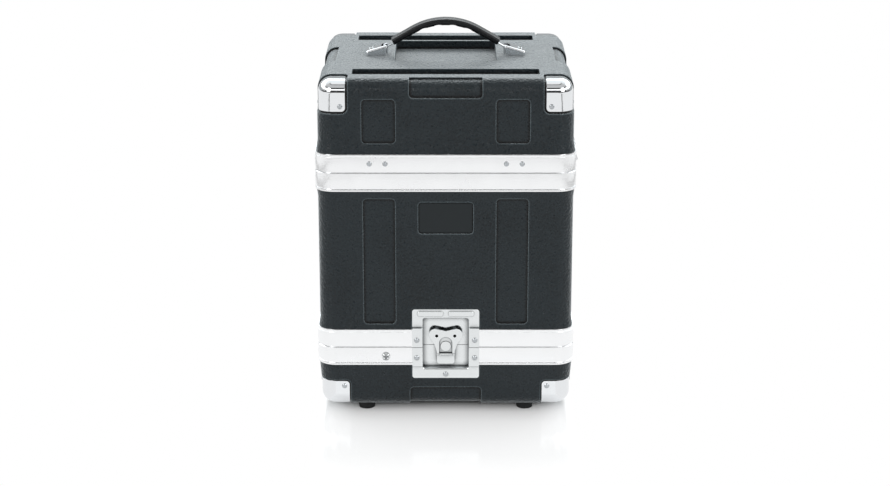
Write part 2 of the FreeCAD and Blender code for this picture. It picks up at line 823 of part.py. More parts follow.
base_outer = form("base_outer_form", base_levels(nothing), dim.base_edge_radius)
base_inner = form("base_inner_form", base_levels(-dim.shell_wall, dim.cut_overrun),
                  dim.base_edge_radius - dim.shell_wall)
base_inset_form = form("base_inset_form", base_levels(-dim.base_corner_recess),
                       dim.base_edge_radius - dim.base_corner_recess)
base_corner_size = (dim.base_inset + dim.base_corner_leg, dim.base_corner_drop)
corners("base_corner", base_levels, dim.base_edge_radius, dim.base_corner_recess, base_corner_size,
        base_bottom, -1)
node("base_shell", cut(
    "base_shell", base_outer, base_inner,
    *edge_notches("base", base_inset_form, dim.base_inset, base_bottom - notch_overrun,
                  dim.base_notch_height + notch_overrun),
    *latch_seat("base_latch", FRONT, low_seam),
    *corner_recesses("base_corner", base_inset_form, base_corner_size, base_bottom, -1, dim.base_corner_gap),
))

badge = plate("badge_plate", dim.badge_recess_width - 2 * dim.badge_margin,
              dim.badge_recess_height - 2 * dim.badge_margin, dim.badge_thickness,
              dim.badge_recess_radius - dim.badge_margin)
badge_floor = half_depth - dim.body_inset - dim.badge_recess_depth
place(badge, 0, -(badge_floor + dim.badge_thickness), badge_bottom + dim.badge_recess_height / 2)
node("badge_plate", badge)

# Twist latches


def end_rounded(name, block, end, radius):
    """Upright block with the two corners at one end of its height rounded off."""
    near = number(dim.latch_sheet) / 2
    return rounded(name, block, radius, lambda edge: edge.BoundBox.YLength > near
                   and abs(edge.BoundBox.Center.z - number(end)) < near)


def latch_half(name, way, height, dish_height):
    """Pressed half of a latch: dish, flange on the frame, step down and flange on the shell.

    way is 1 for the keeper half above the seam and -1 for the half below it. Made about the seam, with the
    frame's outer face at y = 0 and the inside of the case towards +Y.
    """
    def span(low, high):
        return sorted((way * low, way * high), key=number)

    split, sheet = dim.latch_split, dim.latch_sheet
    step = frame_reach + dim.seat_clearance
    floor = dim.dish_depth - sheet
    seat = dim.latch_seat_depth
    half, wide = dim.dish_half_width + dim.dish_wall, dim.latch_half_width
    inner = dim.dish_half_width

    def block(word, width, y_low, y_high, low, high):
        z_low, z_high = span(low, high)
        return box(f"{name}_{word}", (-width, y_low, z_low), (width, y_high, z_high))

    upper_flange = block("frame_flange", wide, -sheet, 0, split, step + sheet)
    step_wall = block("step", wide, -sheet, seat, step, step + sheet)
    shell_flange = end_rounded(f"{name}_shell_flange",
                               block("shell_seat", wide, seat - sheet, seat, step, height),
                               way * height, dim.latch_corner_radius)
    near_bowl = block("bowl", half, -sheet, floor + dim.dish_wall, split, step + sheet)
    far_end = dish_height + dim.dish_wall
    far_block = block("far_block", half, seat - sheet, floor + dim.dish_wall, step, far_end)
    far_bowl = end_rounded(f"{name}_far_bowl", far_block, way * far_end,
                           dim.dish_corner_radius + dim.dish_wall)
    outside = fuse(f"{name}_pressing", upper_flange, step_wall, shell_flange, near_bowl, far_bowl)
    hollow_block = block("hollow_block", inner, -sheet - dim.cut_overrun, floor, split - dim.cut_overrun,
                         dish_height)
    hollow = end_rounded(f"{name}_hollow", hollow_block, way * dish_height, dim.dish_corner_radius)
    return cut(f"{name}_open", outside, hollow)


def latch(prefix, side, seam):
    """Twist latch across a seam: the keeper half above, the half with the mechanism below.

    Layers from the dish floor outwards: hook, spindle's under disc, bracket, spindle's arch, wing.
    """
    sheet, gap = dim.latch_sheet, dim.latch_layer_gap
    floor = dim.dish_depth - sheet
    hook_back = floor - gap
    hook_face = hook_back - dim.hook_thickness
    under_back = hook_face - gap
    under_face = under_back - dim.spindle_under_thickness
    bracket_back = under_face - gap / 2
    bracket_face = bracket_back - dim.bracket_thickness
    arch_back = bracket_face - gap / 2
    arch_face = arch_back - dim.arch_thickness
    wing_axis = arch_face - dim.wing_pin_rise
    outward, across = (0, -1, 0), (1, 0, 0)

    def settle(name, piece):
        return node(name, place(piece, 0, -face_distance(side), seam, side))

    keeper = latch_half(f"{prefix}_keeper", 1, dim.latch_keeper_height, dim.dish_keeper_height)
    pads = []
    for index, way in enumerate((-1, 1)):
        pad = plate(f"{prefix}_keeper_pad_{index}", dim.keeper_pad_width, dim.keeper_pad_height,
                    dim.keeper_pad_rise + sheet / 2, dim.keeper_pad_radius)
        face = dim.latch_seat_depth - sheet - dim.keeper_pad_rise
        middle = (dim.dish_keeper_height + dim.dish_wall + dim.latch_keeper_height) / 2
        pads.append(place(pad, way * dim.keeper_pad_offset, face, middle))
    settle(f"{prefix}_keeper", fuse(f"{prefix}_keeper_pressed", keeper, *pads))

    dish = latch_half(f"{prefix}_dish", -1, dim.latch_dish_height, dim.dish_lower_height)
    settle(f"{prefix}_dish", dish)

    leg_inner = dim.hook_half_width + gap
    leg_outer = leg_inner + dim.bracket_leg
    strip = plate(f"{prefix}_bracket_strip", 2 * leg_outer, dim.bracket_top + dim.bracket_bottom,
                  dim.bracket_thickness, dim.bracket_corner_radius)
    place(strip, 0, bracket_face, (dim.bracket_top - dim.bracket_bottom) / 2)
    legs = []
    for index, way in enumerate((-1, 1)):
        x_low, x_high = sorted((way * leg_inner, way * leg_outer), key=number)
        leg_low = dim.bracket_corner_radius - dim.bracket_bottom
        legs.append(box(f"{prefix}_bracket_leg_{index}",
                        (x_low, bracket_face + dim.bracket_thickness / 2, leg_low),
                        (x_high, floor, -dim.hook_lift)))
    folded = fuse(f"{prefix}_bracket_folded", strip, *legs)
    bore = cylinder(f"{prefix}_bracket_bore", dim.spindle_radius + dim.running_clearance,
                    dim.bracket_thickness + 2 * dim.cut_overrun,
                    (0, bracket_back + dim.cut_overrun, 0), outward)
    settle(f"{prefix}_bracket", cut(f"{prefix}_bracket_bored", folded, bore))

    throw = dim.hook_lift / 2
    hook = plate(f"{prefix}_hook_strip", 2 * dim.hook_half_width, dim.hook_top + dim.hook_bottom,
                 dim.hook_thickness, dim.hook_corner_radius)
    place(hook, 0, hook_face, (dim.hook_top - dim.hook_bottom) / 2)
    slot_height = 2 * (dim.spindle_pin_radius + dim.hook_slot_slack)
    slot = plate(f"{prefix}_hook_slot", dim.hook_slot_length, slot_height,
                 dim.hook_thickness + 2 * dim.cut_overrun, slot_height / 2 - dim.running_clearance)
    place(slot, 0, hook_face - dim.cut_overrun, -throw)
    settle(f"{prefix}_hook", cut(f"{prefix}_hook_slotted", hook, slot))

    arch, middle, drop = dim.arch_half_width, dim.arch_middle_rise, dim.wing_pin_drop
    arch_plate = doc.addObject("PartDesign::Body", f"{prefix}_spindle_arch")
    arch_drawing = new_sketch(arch_plate, f"{prefix}_spindle_arch_outline", "XZ_Plane")
    outline(arch_drawing, [
        (-arch, -drop),
        (arch, -drop),
        (arch, middle, arch, 1),
        (0, middle + arch, arch, 1),
        (-arch, middle),
    ])
    padded(arch_plate, arch_drawing, dim.arch_thickness, inwards=True)
    place(arch_plate, 0, arch_face, 0)
    shaft = cylinder(f"{prefix}_spindle_shaft", dim.spindle_radius, under_back - arch_face,
                     (0, under_back, 0), outward)
    under = cylinder(f"{prefix}_spindle_under", dim.spindle_under_radius, dim.spindle_under_thickness,
                     (0, under_back, 0), outward)
    crank = cylinder(f"{prefix}_spindle_crank", dim.spindle_pin_radius, hook_back - under_face,
                     (0, hook_back, -throw), outward)
    hub = cylinder(f"{prefix}_spindle_hub", dim.hub_radius, dim.hub_height, (0, arch_face, 0), outward)
    roll = cylinder(f"{prefix}_spindle_roll", dim.wing_eye_radius, 2 * arch, (-arch, wing_axis, -drop),
                    across)
    roll_neck = box(f"{prefix}_spindle_neck", (-arch, wing_axis, -drop - dim.wing_eye_radius),
                    (arch, arch_back, -drop))
    pin_half = dim.wing_leg_half_width + dim.wing_pin_overhang
    pin = cylinder(f"{prefix}_wing_pin", dim.wing_pin_radius, 2 * pin_half, (-pin_half, wing_axis, -drop),
                   across)
    settle(f"{prefix}_spindle", fuse(f"{prefix}_spindle_whole", arch_plate, shaft, under, crank, hub, roll,
                                     roll_neck, pin))

    leaf = doc.addObject("PartDesign::Body", f"{prefix}_wing_leaf")
    leaf_drawing = new_sketch(leaf, f"{prefix}_wing_outline", "XZ_Plane")
    lobe_x, lobe_z, lobe_r = dim.wing_lobe_offset, dim.wing_lobe_height, dim.wing_lobe_radius
    across_share, down_share = WING_LOBE_SHARES
    flank_x, flank_z = lobe_x + across_share * lobe_r, lobe_z - down_share * lobe_r
    inner, outer = arch + dim.wing_arch_gap, dim.wing_leg_half_width
    waist = dim.wing_waist_half_width
    outline(leaf_drawing, [
        (inner, -drop),
        (outer, -drop),
        (outer, -dim.wing_leg_drop),
        (waist, dim.wing_waist_rise),
        (flank_x, flank_z, lobe_r, 1),
        (lobe_x, lobe_z + lobe_r),
        (0, dim.wing_dip),
        (-lobe_x, lobe_z + lobe_r, lobe_r, 1),
        (-flank_x, flank_z),
        (-waist, dim.wing_waist_rise),
        (-outer, -dim.wing_leg_drop),
        (-outer, -drop),
        (-inner, -drop),
        (-inner, middle, inner, -1),
        (0, middle + inner, inner, -1),
        (inner, middle),
    ])
    padded(leaf, leaf_drawing, dim.wing_thickness, both=True)
    place(leaf, 0, wing_axis, 0)
    eyes, holes = [], []
    for index, way in enumerate((-1, 1)):
        eye_low, eye_high = sorted((way * inner, way * outer), key=number)
        eyes.append(cylinder(f"{prefix}_wing_eye_{index}", dim.wing_eye_radius, eye_high - eye_low,
                             (eye_low, wing_axis, -drop), across))
        start = (way * dim.wing_hole_offset, wing_axis + dim.cut_overrun, dim.wing_hole_height)
        holes.append(cylinder(f"{prefix}_wing_hole_{index}", dim.wing_hole_radius, 2 * dim.cut_overrun,
                              start, outward))
    bore_half = pin_half + dim.cut_overrun
    eye_bore = cylinder(f"{prefix}_wing_bore", dim.wing_pin_radius + dim.running_clearance, 2 * bore_half,
                        (-bore_half, wing_axis, -drop), across)
    whole = fuse(f"{prefix}_wing_whole", leaf, *eyes)
    settle(f"{prefix}_wing", cut(f"{prefix}_wing_bored", whole, eye_bore, *holes))


latch("front_latch", FRONT, low_seam)
latch("side_latch", LEFT, high_seam)

# Hinges


def hinge_leaf(name, way, ends, side, along, seam):
    """Leaf of a hinge on one half of a frame, with either the two end knuckles or the middle one.

    Made with the pin along X, the frame's outer face at y = 0 and the seam at z = 0.
    """
    rise, radius, gap = dim.hinge_axis_rise, dim.hinge_knuckle_radius, dim.hinge_knuckle_gap
    room = radius + gap
    height = dim.hinge_leaf_height - room
    leaf = plate(f"{name}_plate", dim.hinge_length, height, dim.hinge_leaf_thickness, dim.hinge_leaf_radius)
    place(leaf, 0, -dim.hinge_leaf_thickness, way * (room + height / 2))
    middle = dim.hinge_knuckle_length / 2
    end = dim.hinge_length / 2
    spans = [(-end, -middle - gap), (middle + gap, end)] if ends else [(-middle, middle)]
    pieces = [leaf]
    for index, (first, last) in enumerate(spans):
        low, high = sorted((nothing, way * (room + dim.hinge_leaf_radius)), key=number)
        pieces.append(box(f"{name}_root_{index}", (first, -dim.hinge_leaf_thickness, low),
                          (last, -(rise - radius), high)))
        pieces.append(cylinder(f"{name}_knuckle_{index}", radius, last - first, (first, -rise, 0), (1, 0, 0)))
    bore = cylinder(f"{name}_bore", dim.hinge_pin_radius + dim.running_clearance,
                    dim.hinge_length + 2 * dim.cut_overrun, (-end - dim.cut_overrun, -rise, 0), (1, 0, 0))
    whole = cut(f"{name}_bored", fuse(f"{name}_whole", *pieces), bore)
    node(name, place(whole, along, -face_distance(side), seam, side))


hinge_pin = cylinder("hinge_pin", dim.hinge_pin_radius, dim.hinge_length,
                     (-dim.hinge_length / 2, 0, 0), (1, 0, 0))


def hinge_pins(name, side, offset, seam):
    """The two pins of a pair of hinges."""
    out = face_distance(side) + dim.hinge_axis_rise
    places = []
    for way in (-1, 1):
        upright = Placement(Vector(), Rotation(Vector(0, 0, 1), side))
        shift = Placement(Vector(number(way * offset), -number(out), number(seam)), Rotation())
        places.append(upright * shift)
    group(name, hinge_pin, places)


for word, way in (("left", 1), ("right", -1)):
    hinge_leaf(f"base_hinge_{word}_lower_leaf", -1, True, REAR, way * dim.base_hinge_offset, low_seam)
    hinge_leaf(f"base_hinge_{word}_upper_leaf", 1, False, REAR, way * dim.base_hinge_offset, low_seam)
for word, way in (("front", -1), ("rear", 1)):
    hinge_leaf(f"lid_hinge_{word}_lower_leaf", -1, True, RIGHT, way * dim.lid_hinge_offset, high_seam)
    hinge_leaf(f"lid_hinge_{word}_upper_leaf", 1, False, RIGHT, way * dim.lid_hinge_offset, high_seam)
hinge_pins("base_hinge_pins", REAR, dim.base_hinge_offset, low_seam)
hinge_pins("lid_hinge_pins", RIGHT, dim.lid_hinge_offset, high_seam)

# Feet under the base

foot_y = half_depth - dim.foot_from_face
foot_profile = [
    (dim.foot_bore_radius, 0),
    (dim.foot_radius, 0),
    (dim.foot_top_radius, dim.foot_height),
    (0, dim.foot_height),
    (0, dim.foot_bore_height),
    (dim.foot_bore_radius, dim.foot_bore_height),
]
screw_rim_share = 0.45
screw_crown_share = 0.7
foot_screw = turned_solid("foot_screw", [
    (0, dim.foot_bore_height - dim.foot_screw_height),
    (screw_crown_share * dim.foot_screw_radius, dim.foot_bore_height - dim.foot_screw_height),
    (dim.foot_screw_radius, dim.foot_bore_height - screw_rim_share * dim.foot_screw_height),
    (dim.foot_screw_radius, dim.foot_bore_height),
    (0, dim.foot_bore_height),
])
foot_places = []
for depth_word, depth_way in (("front", -1), ("rear", 1)):
    for width_word, width_way in (("left", -1), ("right", 1)):
        foot_name = f"foot_{depth_word}_{width_word}"
        foot_x = width_way * (half_width - dim.foot_from_side)
        node(foot_name, place(turned_solid(foot_name, foot_profile), foot_x, depth_way * foot_y))
        foot_places.append(spot((foot_x, depth_way * foot_y, 0), (0, 0, 1)))
group("foot_screws", foot_screw, foot_places)

# Handle: a steel strap through a moulded grip, its ends caught under two caps

arc_middle = lid_top + dim.grip_top_height - dim.grip_thickness / 2 - dim.grip_arc_radius


slope = math.radians(GRIP_SLOPE)


def bent(name, width, thickness, radius, arc_radius, end):
    """Bar of rounded section along the handle: an arc over the middle, then straight down to both ends."""
    body = doc.addObject("PartDesign::Body", f"{name}_half")
    path = new_sketch(body, f"{name}_path", "XZ_Plane")
    circle = Part.Circle(Vector(), Vector(0, 0, 1), number(arc_radius))
    bend = Part.ArcOfCircle(circle, math.pi / 2 - slope, math.pi / 2)
    run = number(end) - bend.StartPoint.x
    tip = bend.StartPoint + Vector(run, -math.tan(slope) * run, 0)
    path.addGeometry(bend, False)
    path.addGeometry(Part.LineSegment(bend.StartPoint, tip), False)
    rule = Sketcher.Constraint
    path.addConstraint([rule("Coincident", 0, 3, -1, 1), rule("PointOnObject", 0, 2, -2),
                        rule("Tangent", 1, 1, 0, 1), rule("Angle", 1, -slope)])
    hold(path, "Radius", 0, value=arc_radius)
    hold(path, "DistanceX", -1, 1, 1, 2, value=end)
    section = new_sketch(body, f"{name}_section", "YZ_Plane")
    section.setExpression("AttachmentOffset.Base.y", arc_radius.formula)
    rounded_rectangle(section, width, thickness, radius)
    sweep = body.newObject("PartDesign::AdditivePipe", f"{name}_sweep")
    sweep.Profile = section
    sweep.Spine = (path, [])
    place(body, 0, 0, arc_middle)
    return fuse(name, body, mirrored(f"{name}_other_half", body, (1, 0, 0)))


strap_arc = dim.grip_arc_radius - dim.strap_drop
strap_fall = arc_middle + strap_arc * math.cos(slope) - lid_top - dim.seat_clearance - dim.strap_thickness
strap_end = strap_arc * math.sin(slope) + strap_fall / math.tan(slope)
strap_radius = dim.strap_thickness / 4
strap_band = bent("strap_band", dim.strap_width, dim.strap_thickness, strap_radius, strap_arc, strap_end)
strap_wide = bent("strap_wide", dim.strap_head_width, dim.strap_thickness, strap_radius, strap_arc, strap_end)
strap_span = 2 * dim.cap_inner_end + 2 * dim.cap_notch_length + dim.strap_head_length
strap_middle = box("strap_middle", (-strap_span / 2, -dim.strap_head_width, lid_top - dim.cut_overrun),
                   (strap_span / 2, dim.strap_head_width, lid_top + 2 * dim.grip_top_height))
node("handle_strap", fuse("handle_strap", strap_band, cut("strap_heads", strap_wide, strap_middle)))
room = dim.seat_clearance
strap_room = bent("strap_room", dim.strap_width + 2 * room, dim.strap_thickness + 2 * room, strap_radius,
                  strap_arc, strap_end)
grip_bar = bent("grip_bar", dim.grip_width, dim.grip_thickness, dim.grip_rounding, dim.grip_arc_radius,
                dim.grip_half_span)
scallops = []
scallop_arc = dim.grip_arc_radius - dim.grip_thickness / 2 + dim.scallop_bite - dim.scallop_radius
for index, angle in enumerate(SCALLOP_ANGLES):
    lean = math.radians(angle)
    start = (scallop_arc * math.sin(lean), -dim.grip_width, arc_middle + scallop_arc * math.cos(lean))
    scallops.append(cylinder(f"grip_scallop_{index}", dim.scallop_radius, 2 * dim.grip_width, start,
                             (0, 1, 0)))
node("handle_grip", cut("handle_grip", grip_bar, strap_room, *scallops))


def cap_wedge(name, wall):
    """Outer form of a handle cap, or with a wall the hollow inside it, for the right end of the handle."""
    body = doc.addObject("PartDesign::Body", name)
    drawing = new_sketch(body, f"{name}_profile", "XZ_Plane")
    start, end = dim.cap_inner_end + wall, dim.cap_inner_end + dim.cap_length - wall
    outline(drawing, [
        (start, 0),
        (end, 0),
        (end, dim.cap_outer_height - wall),
        (start, dim.cap_mouth_height - wall),
    ])
    padded(body, drawing, dim.cap_width - 2 * wall, both=True)
    return body


cap_outer = cap_wedge("cap_outer", nothing)
cap_soft = rounded("cap_soft", cap_outer, dim.cap_rounding,
                   lambda edge: edge.BoundBox.ZMin > number(dim.cap_wall)
                   or edge.BoundBox.ZLength > number(dim.cap_wall))
cap_hollow = cap_wedge("cap_hollow", dim.cap_wall)
cap_notch = box("cap_notch", (dim.cap_inner_end - dim.cut_overrun, -dim.cap_notch_width / 2, 0),
                (dim.cap_inner_end + dim.cap_notch_length, dim.cap_notch_width / 2, 2 * dim.cap_mouth_height))
cap = cut("cap_right", cap_soft, cap_hollow, cap_notch)
place(cap, 0, 0, lid_top)
node("handle_cap_right", cap)
node("handle_cap_left", mirrored("cap_left", cap, (1, 0, 0)))

cap_slope = math.atan2(number(dim.cap_mouth_height - dim.cap_outer_height), number(dim.cap_length))
cap_screw = turned_solid("cap_screw", [
    (0, 0),
    (dim.cap_screw_radius, 0),
    (dim.cap_screw_radius, screw_rim_share * dim.cap_screw_height),
    (screw_crown_share * dim.cap_screw_radius, dim.cap_screw_height),
    (0, dim.cap_screw_height),
])
screw_x = dim.cap_inner_end + dim.cap_length - dim.cap_screw_from_end
screw_rise = (dim.cap_mouth_height - dim.cap_outer_height) / dim.cap_length * dim.cap_screw_from_end
screw_z = lid_top + dim.cap_outer_height + screw_rise
group("cap_screws", cap_screw, [
    spot((way * screw_x, 0, screw_z), (way * math.sin(cap_slope), 0, math.cos(cap_slope)))
    for way in (-1, 1)
])

# Foam, floor and guide tongues inside

floor_z = low_seam + half_gap + dim.shelf_thickness
latch_room_half = dim.dish_half_width + dim.dish_wall + 2 * dim.latch_cutout_clearance
latch_room_depth = dim.dish_depth - dim.latch_sheet + dim.dish_wall + 2 * dim.latch_cutout_clearance


def latch_room(name, side, bottom, top):
    """Tool that clears the inside of the case behind a latch dish."""
    depth = latch_room_depth + dim.cut_overrun
    tool = box(name, (-latch_room_half, 0, 0), (latch_room_half, depth, top - bottom))
    return place(tool, -latch_room_half, -(face_distance(side) + dim.cut_overrun), bottom, side)


def slab(name, inset, bottom, top):
    """Flat block that fills the case in plan up to a distance from the frames' outer face."""
    width, length = dim.frame_width - 2 * inset, dim.frame_depth - 2 * inset
    block = plate(name, width, length, top - bottom, dim.frame_corner_radius - inset, "XY_Plane")
    return place(block, 0, 0, bottom)


floor_board = slab("body_floor_board", dim.floor_edge_inset, floor_z, floor_z + dim.floor_thickness)
node("body_floor", cut("body_floor", floor_board,
                       latch_room("floor_latch_room", FRONT, floor_z - dim.cut_overrun,
                                  floor_z + dim.floor_thickness + dim.cut_overrun)))

pad_bottom = floor_z + dim.floor_thickness
pad_top = pad_bottom + dim.body_foam_pad
foam_top = high_seam - dim.body_foam_top
front_room_top = low_seam + dim.dish_keeper_height + dim.dish_wall + 2 * dim.latch_cutout_clearance
side_room_bottom = high_seam - dim.dish_lower_height - dim.dish_wall - 2 * dim.latch_cutout_clearance
front_room = latch_room("foam_front_room", FRONT, low_seam, front_room_top)
side_room = latch_room("foam_side_room", LEFT, side_room_bottom, high_seam)
pad_block = slab("foam_pad_block", dim.foam_inset, pad_bottom, pad_top)
node("body_foam_pad", cut("body_foam_pad", pad_block, front_room))


def pocket(name, x, y, bottom, top, width, length, radius):
    """Tool for an upright pocket in foam."""
    return place(plate(name, width, length, top - bottom, radius, "XY_Plane"), x, y, bottom)


foam_half_width, foam_half_depth = half_width - dim.foam_inset, half_depth - dim.foam_inset
mic_pitch = (2 * foam_half_width - 2 * dim.mic_side_margin) / 4
mic_row = dim.mic_front_wall + dim.mic_pocket_size / 2 - foam_half_depth
pack_width = (2 * foam_half_width - 2 * dim.pack_side_wall - dim.pack_middle_wall) / 2
pack_row = foam_half_depth - dim.pack_rear_wall - dim.pack_pocket_length / 2
foam_block = slab("foam_block", dim.foam_inset, pad_top, foam_top)
cut_low, cut_high = pad_top - dim.cut_overrun, foam_top + dim.cut_overrun
pockets = [
    pocket(f"mic_pocket_{index}", share * mic_pitch, mic_row, cut_low, cut_high, dim.mic_pocket_size,
           dim.mic_pocket_size, dim.mic_pocket_radius)
    for index, share in enumerate((-1.5, -0.5, 0.5, 1.5))
]
for index, way in enumerate((-1, 1)):
    x = way * (pack_width + dim.pack_middle_wall) / 2
    pockets.append(pocket(f"pack_pocket_{index}", x, pack_row, cut_low, cut_high, pack_width,
                          dim.pack_pocket_length, dim.pack_pocket_radius))
node("body_foam", cut("body_foam", foam_block, front_room, side_room, *pockets))

base_floor = base_bottom + dim.shell_wall
base_foam_top = base_floor + dim.base_foam_height
base_block = slab("base_foam_block", dim.base_foam_inset, base_floor + dim.seat_clearance, base_foam_top)
base_low = number(base_floor + dim.seat_clearance)
base_soft = rounded("base_foam_soft", base_block, dim.base_edge_radius - dim.shell_wall,
                    lambda edge: edge.BoundBox.ZMax < base_low + SAME_PLACE)
base_room_bottom = low_seam - dim.dish_lower_height - dim.dish_wall - 2 * dim.latch_cutout_clearance
base_pocket_room = dim.frame_width - 2 * dim.base_foam_inset - 2 * dim.base_pocket_side_wall
base_pocket_width = (base_pocket_room - dim.base_pocket_middle_wall) / 2
base_pocket_length = dim.frame_depth - 2 * dim.base_foam_inset - 2 * dim.base_pocket_end_wall
base_pockets = [
    pocket(f"base_pocket_{index}", way * (base_pocket_width + dim.base_pocket_middle_wall) / 2, 0,
           base_foam_top - dim.base_pocket_depth, base_foam_top + dim.cut_overrun, base_pocket_width,
           base_pocket_length, dim.base_pocket_radius)
    for index, way in enumerate((-1, 1))
]
node("base_foam", cut("base_foam", base_soft, latch_room("base_foam_room", FRONT, base_room_bottom, low_seam),
                      *base_pockets))

lid_pad_top = lid_top - dim.hand_recess_sink - dim.lid_wall - dim.seat_clearance
lid_pad = slab("lid_foam", dim.lid_foam_inset, lid_pad_top - dim.lid_foam_thickness, lid_pad_top)
node("lid_foam", lid_pad)

tongue_gap = frame_inner_face + dim.seat_clearance
for word, side in (("front", FRONT), ("rear", REAR)):
    plates = []
    for index, way in enumerate((-1, 1)):
        tongue_plate = plate(f"guide_{word}_{index}", dim.tongue_plate_width, dim.tongue_plate_height,
                             dim.tongue_plate_thickness, dim.hinge_leaf_radius)
        face = -(face_distance(side) - tongue_gap)
        plates.append(place(tongue_plate, way * dim.tongue_plate_offset, face, high_seam, side))
    node(f"guide_tongues_{word}", fuse(f"guide_tongues_{word}", *plates))

# Rivets and the screw in the base frame

rivet = turned_solid("rivet", [
    (0, 0),
    (dim.rivet_radius, 0),
    (dim.rivet_radius, dim.rivet_rim),
    (dim.rivet_crown_radius, dim.rivet_height),
    (0, dim.rivet_height),
])


def side_spot(side, across, out, z):
    """Place of a rivet on one side of the case, out from the frames' outer face."""
    shift = Placement(Vector(number(across), -number(face_distance(side) + out), number(z)),
                      Rotation(Vector(0, 0, 1), Vector(0, -1, 0)))
    return Placement(Vector(), Rotation(Vector(0, 0, 1), side)) * shift


def corner_rivets(size, end, way, inset, recess_depth):
    """Two rivets on each corner, one on each upright face."""
    leg, drop = size
    out = -(inset + corner_depth(recess_depth))
    rise = end - way * (drop - dim.corner_rivet_margin)
    places = []
    for side in SIDES.values():
        half = half_width if side in (FRONT, REAR) else half_depth
        for hand in (-1, 1):
            places.append(side_spot(side, hand * (half - leg + dim.corner_rivet_margin), out, rise))
    return places


def latch_rivets(side, seam, way):
    """Rivets in the flange of one latch half."""
    rise = dim.latch_rivet_keeper if way > 0 else dim.latch_rivet_lower
    places = [
        side_spot(side, hand * dim.latch_rivet_offset, dim.latch_sheet, seam + way * rise)
        for hand in (-1, 1)
    ]
    if way < 0:
        out = dim.latch_sheet - dim.latch_seat_depth
        places.append(side_spot(side, 0, out, seam - dim.latch_dish_height + dim.latch_rivet_end))
    return places


def hinge_rivets(side, offset, seam, way):
    """Two rivets in each leaf of a pair of hinges, on one half of the frames."""
    return [
        side_spot(side, hinge * offset + hand * dim.hinge_rivet_offset, dim.hinge_leaf_thickness,
                  seam + way * dim.hinge_rivet_height)
        for hinge in (-1, 1)
        for hand in (-1, 1)
    ]


group("base_rivets", rivet, [
    *corner_rivets(base_corner_size, base_bottom, -1, dim.base_inset, dim.base_corner_recess),
    *latch_rivets(FRONT, low_seam, -1),
    *hinge_rivets(REAR, dim.base_hinge_offset, low_seam, -1),
])
group("body_rivets", rivet, [
    *latch_rivets(FRONT, low_seam, 1),
    *latch_rivets(LEFT, high_seam, -1),
    *hinge_rivets(REAR, dim.base_hinge_offset, low_seam, 1),
    *hinge_rivets(RIGHT, dim.lid_hinge_offset, high_seam, -1),
])
tongue_rivets = [
    side_spot(side, way * dim.tongue_plate_offset + hand * dim.tongue_rivet_offset, 0,
              high_seam + half_gap + dim.frame_height / 2)
    for side in (FRONT, REAR)
    for way in (-1, 1)
    for hand in (-1, 1)
]
group("lid_rivets", rivet, [
    *corner_rivets(lid_corner_size, lid_top, 1, dim.lid_inset, dim.lid_corner_recess),
    *latch_rivets(LEFT, high_seam, 1),
    *hinge_rivets(RIGHT, dim.lid_hinge_offset, high_seam, 1),
    *tongue_rivets,
])

frame_screw = turned_solid("frame_screw_head", [
    (0, 0),
    (dim.frame_screw_radius, 0),
    (dim.frame_screw_radius, screw_rim_share * dim.frame_screw_height),
    (screw_crown_share * dim.frame_screw_radius, dim.frame_screw_height),
    (0, dim.frame_screw_height),
])
group("frame_screw", frame_screw, [
    side_spot(FRONT, -dim.frame_screw_offset, 0, low_seam - half_gap - dim.frame_height / 2)
])

# Every piece is tested before any file is written

doc.recompute()
for thing in doc.Objects:
    if "Invalid" in thing.State or "Error" in thing.State:
        raise RuntimeError(f"{thing.Name} failed: {thing.State}")
for name, piece in finished.items():
    if piece.Shape.isNull() or not piece.Shape.isValid() or not piece.Shape.Solids:
        raise RuntimeError(f"{name} has no valid solid")
os.makedirs("parts", exist_ok=True)
for name, piece in finished.items():
    piece.Shape.exportStep(os.path.join("parts", f"{name}.step"))
print(f"{len(finished)} pieces")
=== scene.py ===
"""Wireless microphone case: the finish of each piece, the foam inside, the studio and the camera."""

import json
import math

import bmesh
import bpy
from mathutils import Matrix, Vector


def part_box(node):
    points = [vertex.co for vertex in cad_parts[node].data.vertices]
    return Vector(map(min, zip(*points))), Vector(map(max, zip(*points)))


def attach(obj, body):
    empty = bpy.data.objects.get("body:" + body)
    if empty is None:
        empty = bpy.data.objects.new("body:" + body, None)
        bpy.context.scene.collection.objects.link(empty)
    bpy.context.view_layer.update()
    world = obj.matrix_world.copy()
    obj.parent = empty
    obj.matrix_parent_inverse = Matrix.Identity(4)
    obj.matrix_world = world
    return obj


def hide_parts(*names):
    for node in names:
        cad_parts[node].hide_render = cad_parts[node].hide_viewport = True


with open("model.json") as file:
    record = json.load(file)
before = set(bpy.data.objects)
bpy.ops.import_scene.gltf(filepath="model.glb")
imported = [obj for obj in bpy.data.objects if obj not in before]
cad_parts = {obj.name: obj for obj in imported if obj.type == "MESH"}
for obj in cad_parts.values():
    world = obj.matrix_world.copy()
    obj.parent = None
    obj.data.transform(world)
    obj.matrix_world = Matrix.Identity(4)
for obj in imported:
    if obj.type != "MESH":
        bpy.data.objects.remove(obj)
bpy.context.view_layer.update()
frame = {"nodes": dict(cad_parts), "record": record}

# Moulded shells
# The lid, the body tube and the base tray are moulded polyethylene, 5 to 6 mm thick and coloured right
# through. The mould gives them a pebbled skin, and small radii round the panels, notches and recesses.

shell_edge_radius = 0.0012
pebble_width, ripple_width, cloud_width = 0.003, 0.005, 0.09
# The crease and edge reaches are how far the painted shade in creases and the painted highlight on outside
# edges spread.
pebble_depth, crease_shade_reach, edge_highlight_reach = 0.0012, 0.005, 0.002
merge_reach, flat_angle = 2e-6, math.radians(0.2)
sharp_angle, rim_angle = math.radians(32), math.radians(40)

riding_body = {
    node: body for body, nodes in frame["record"]["behaviour"]["bodies"].items() for node in nodes
}


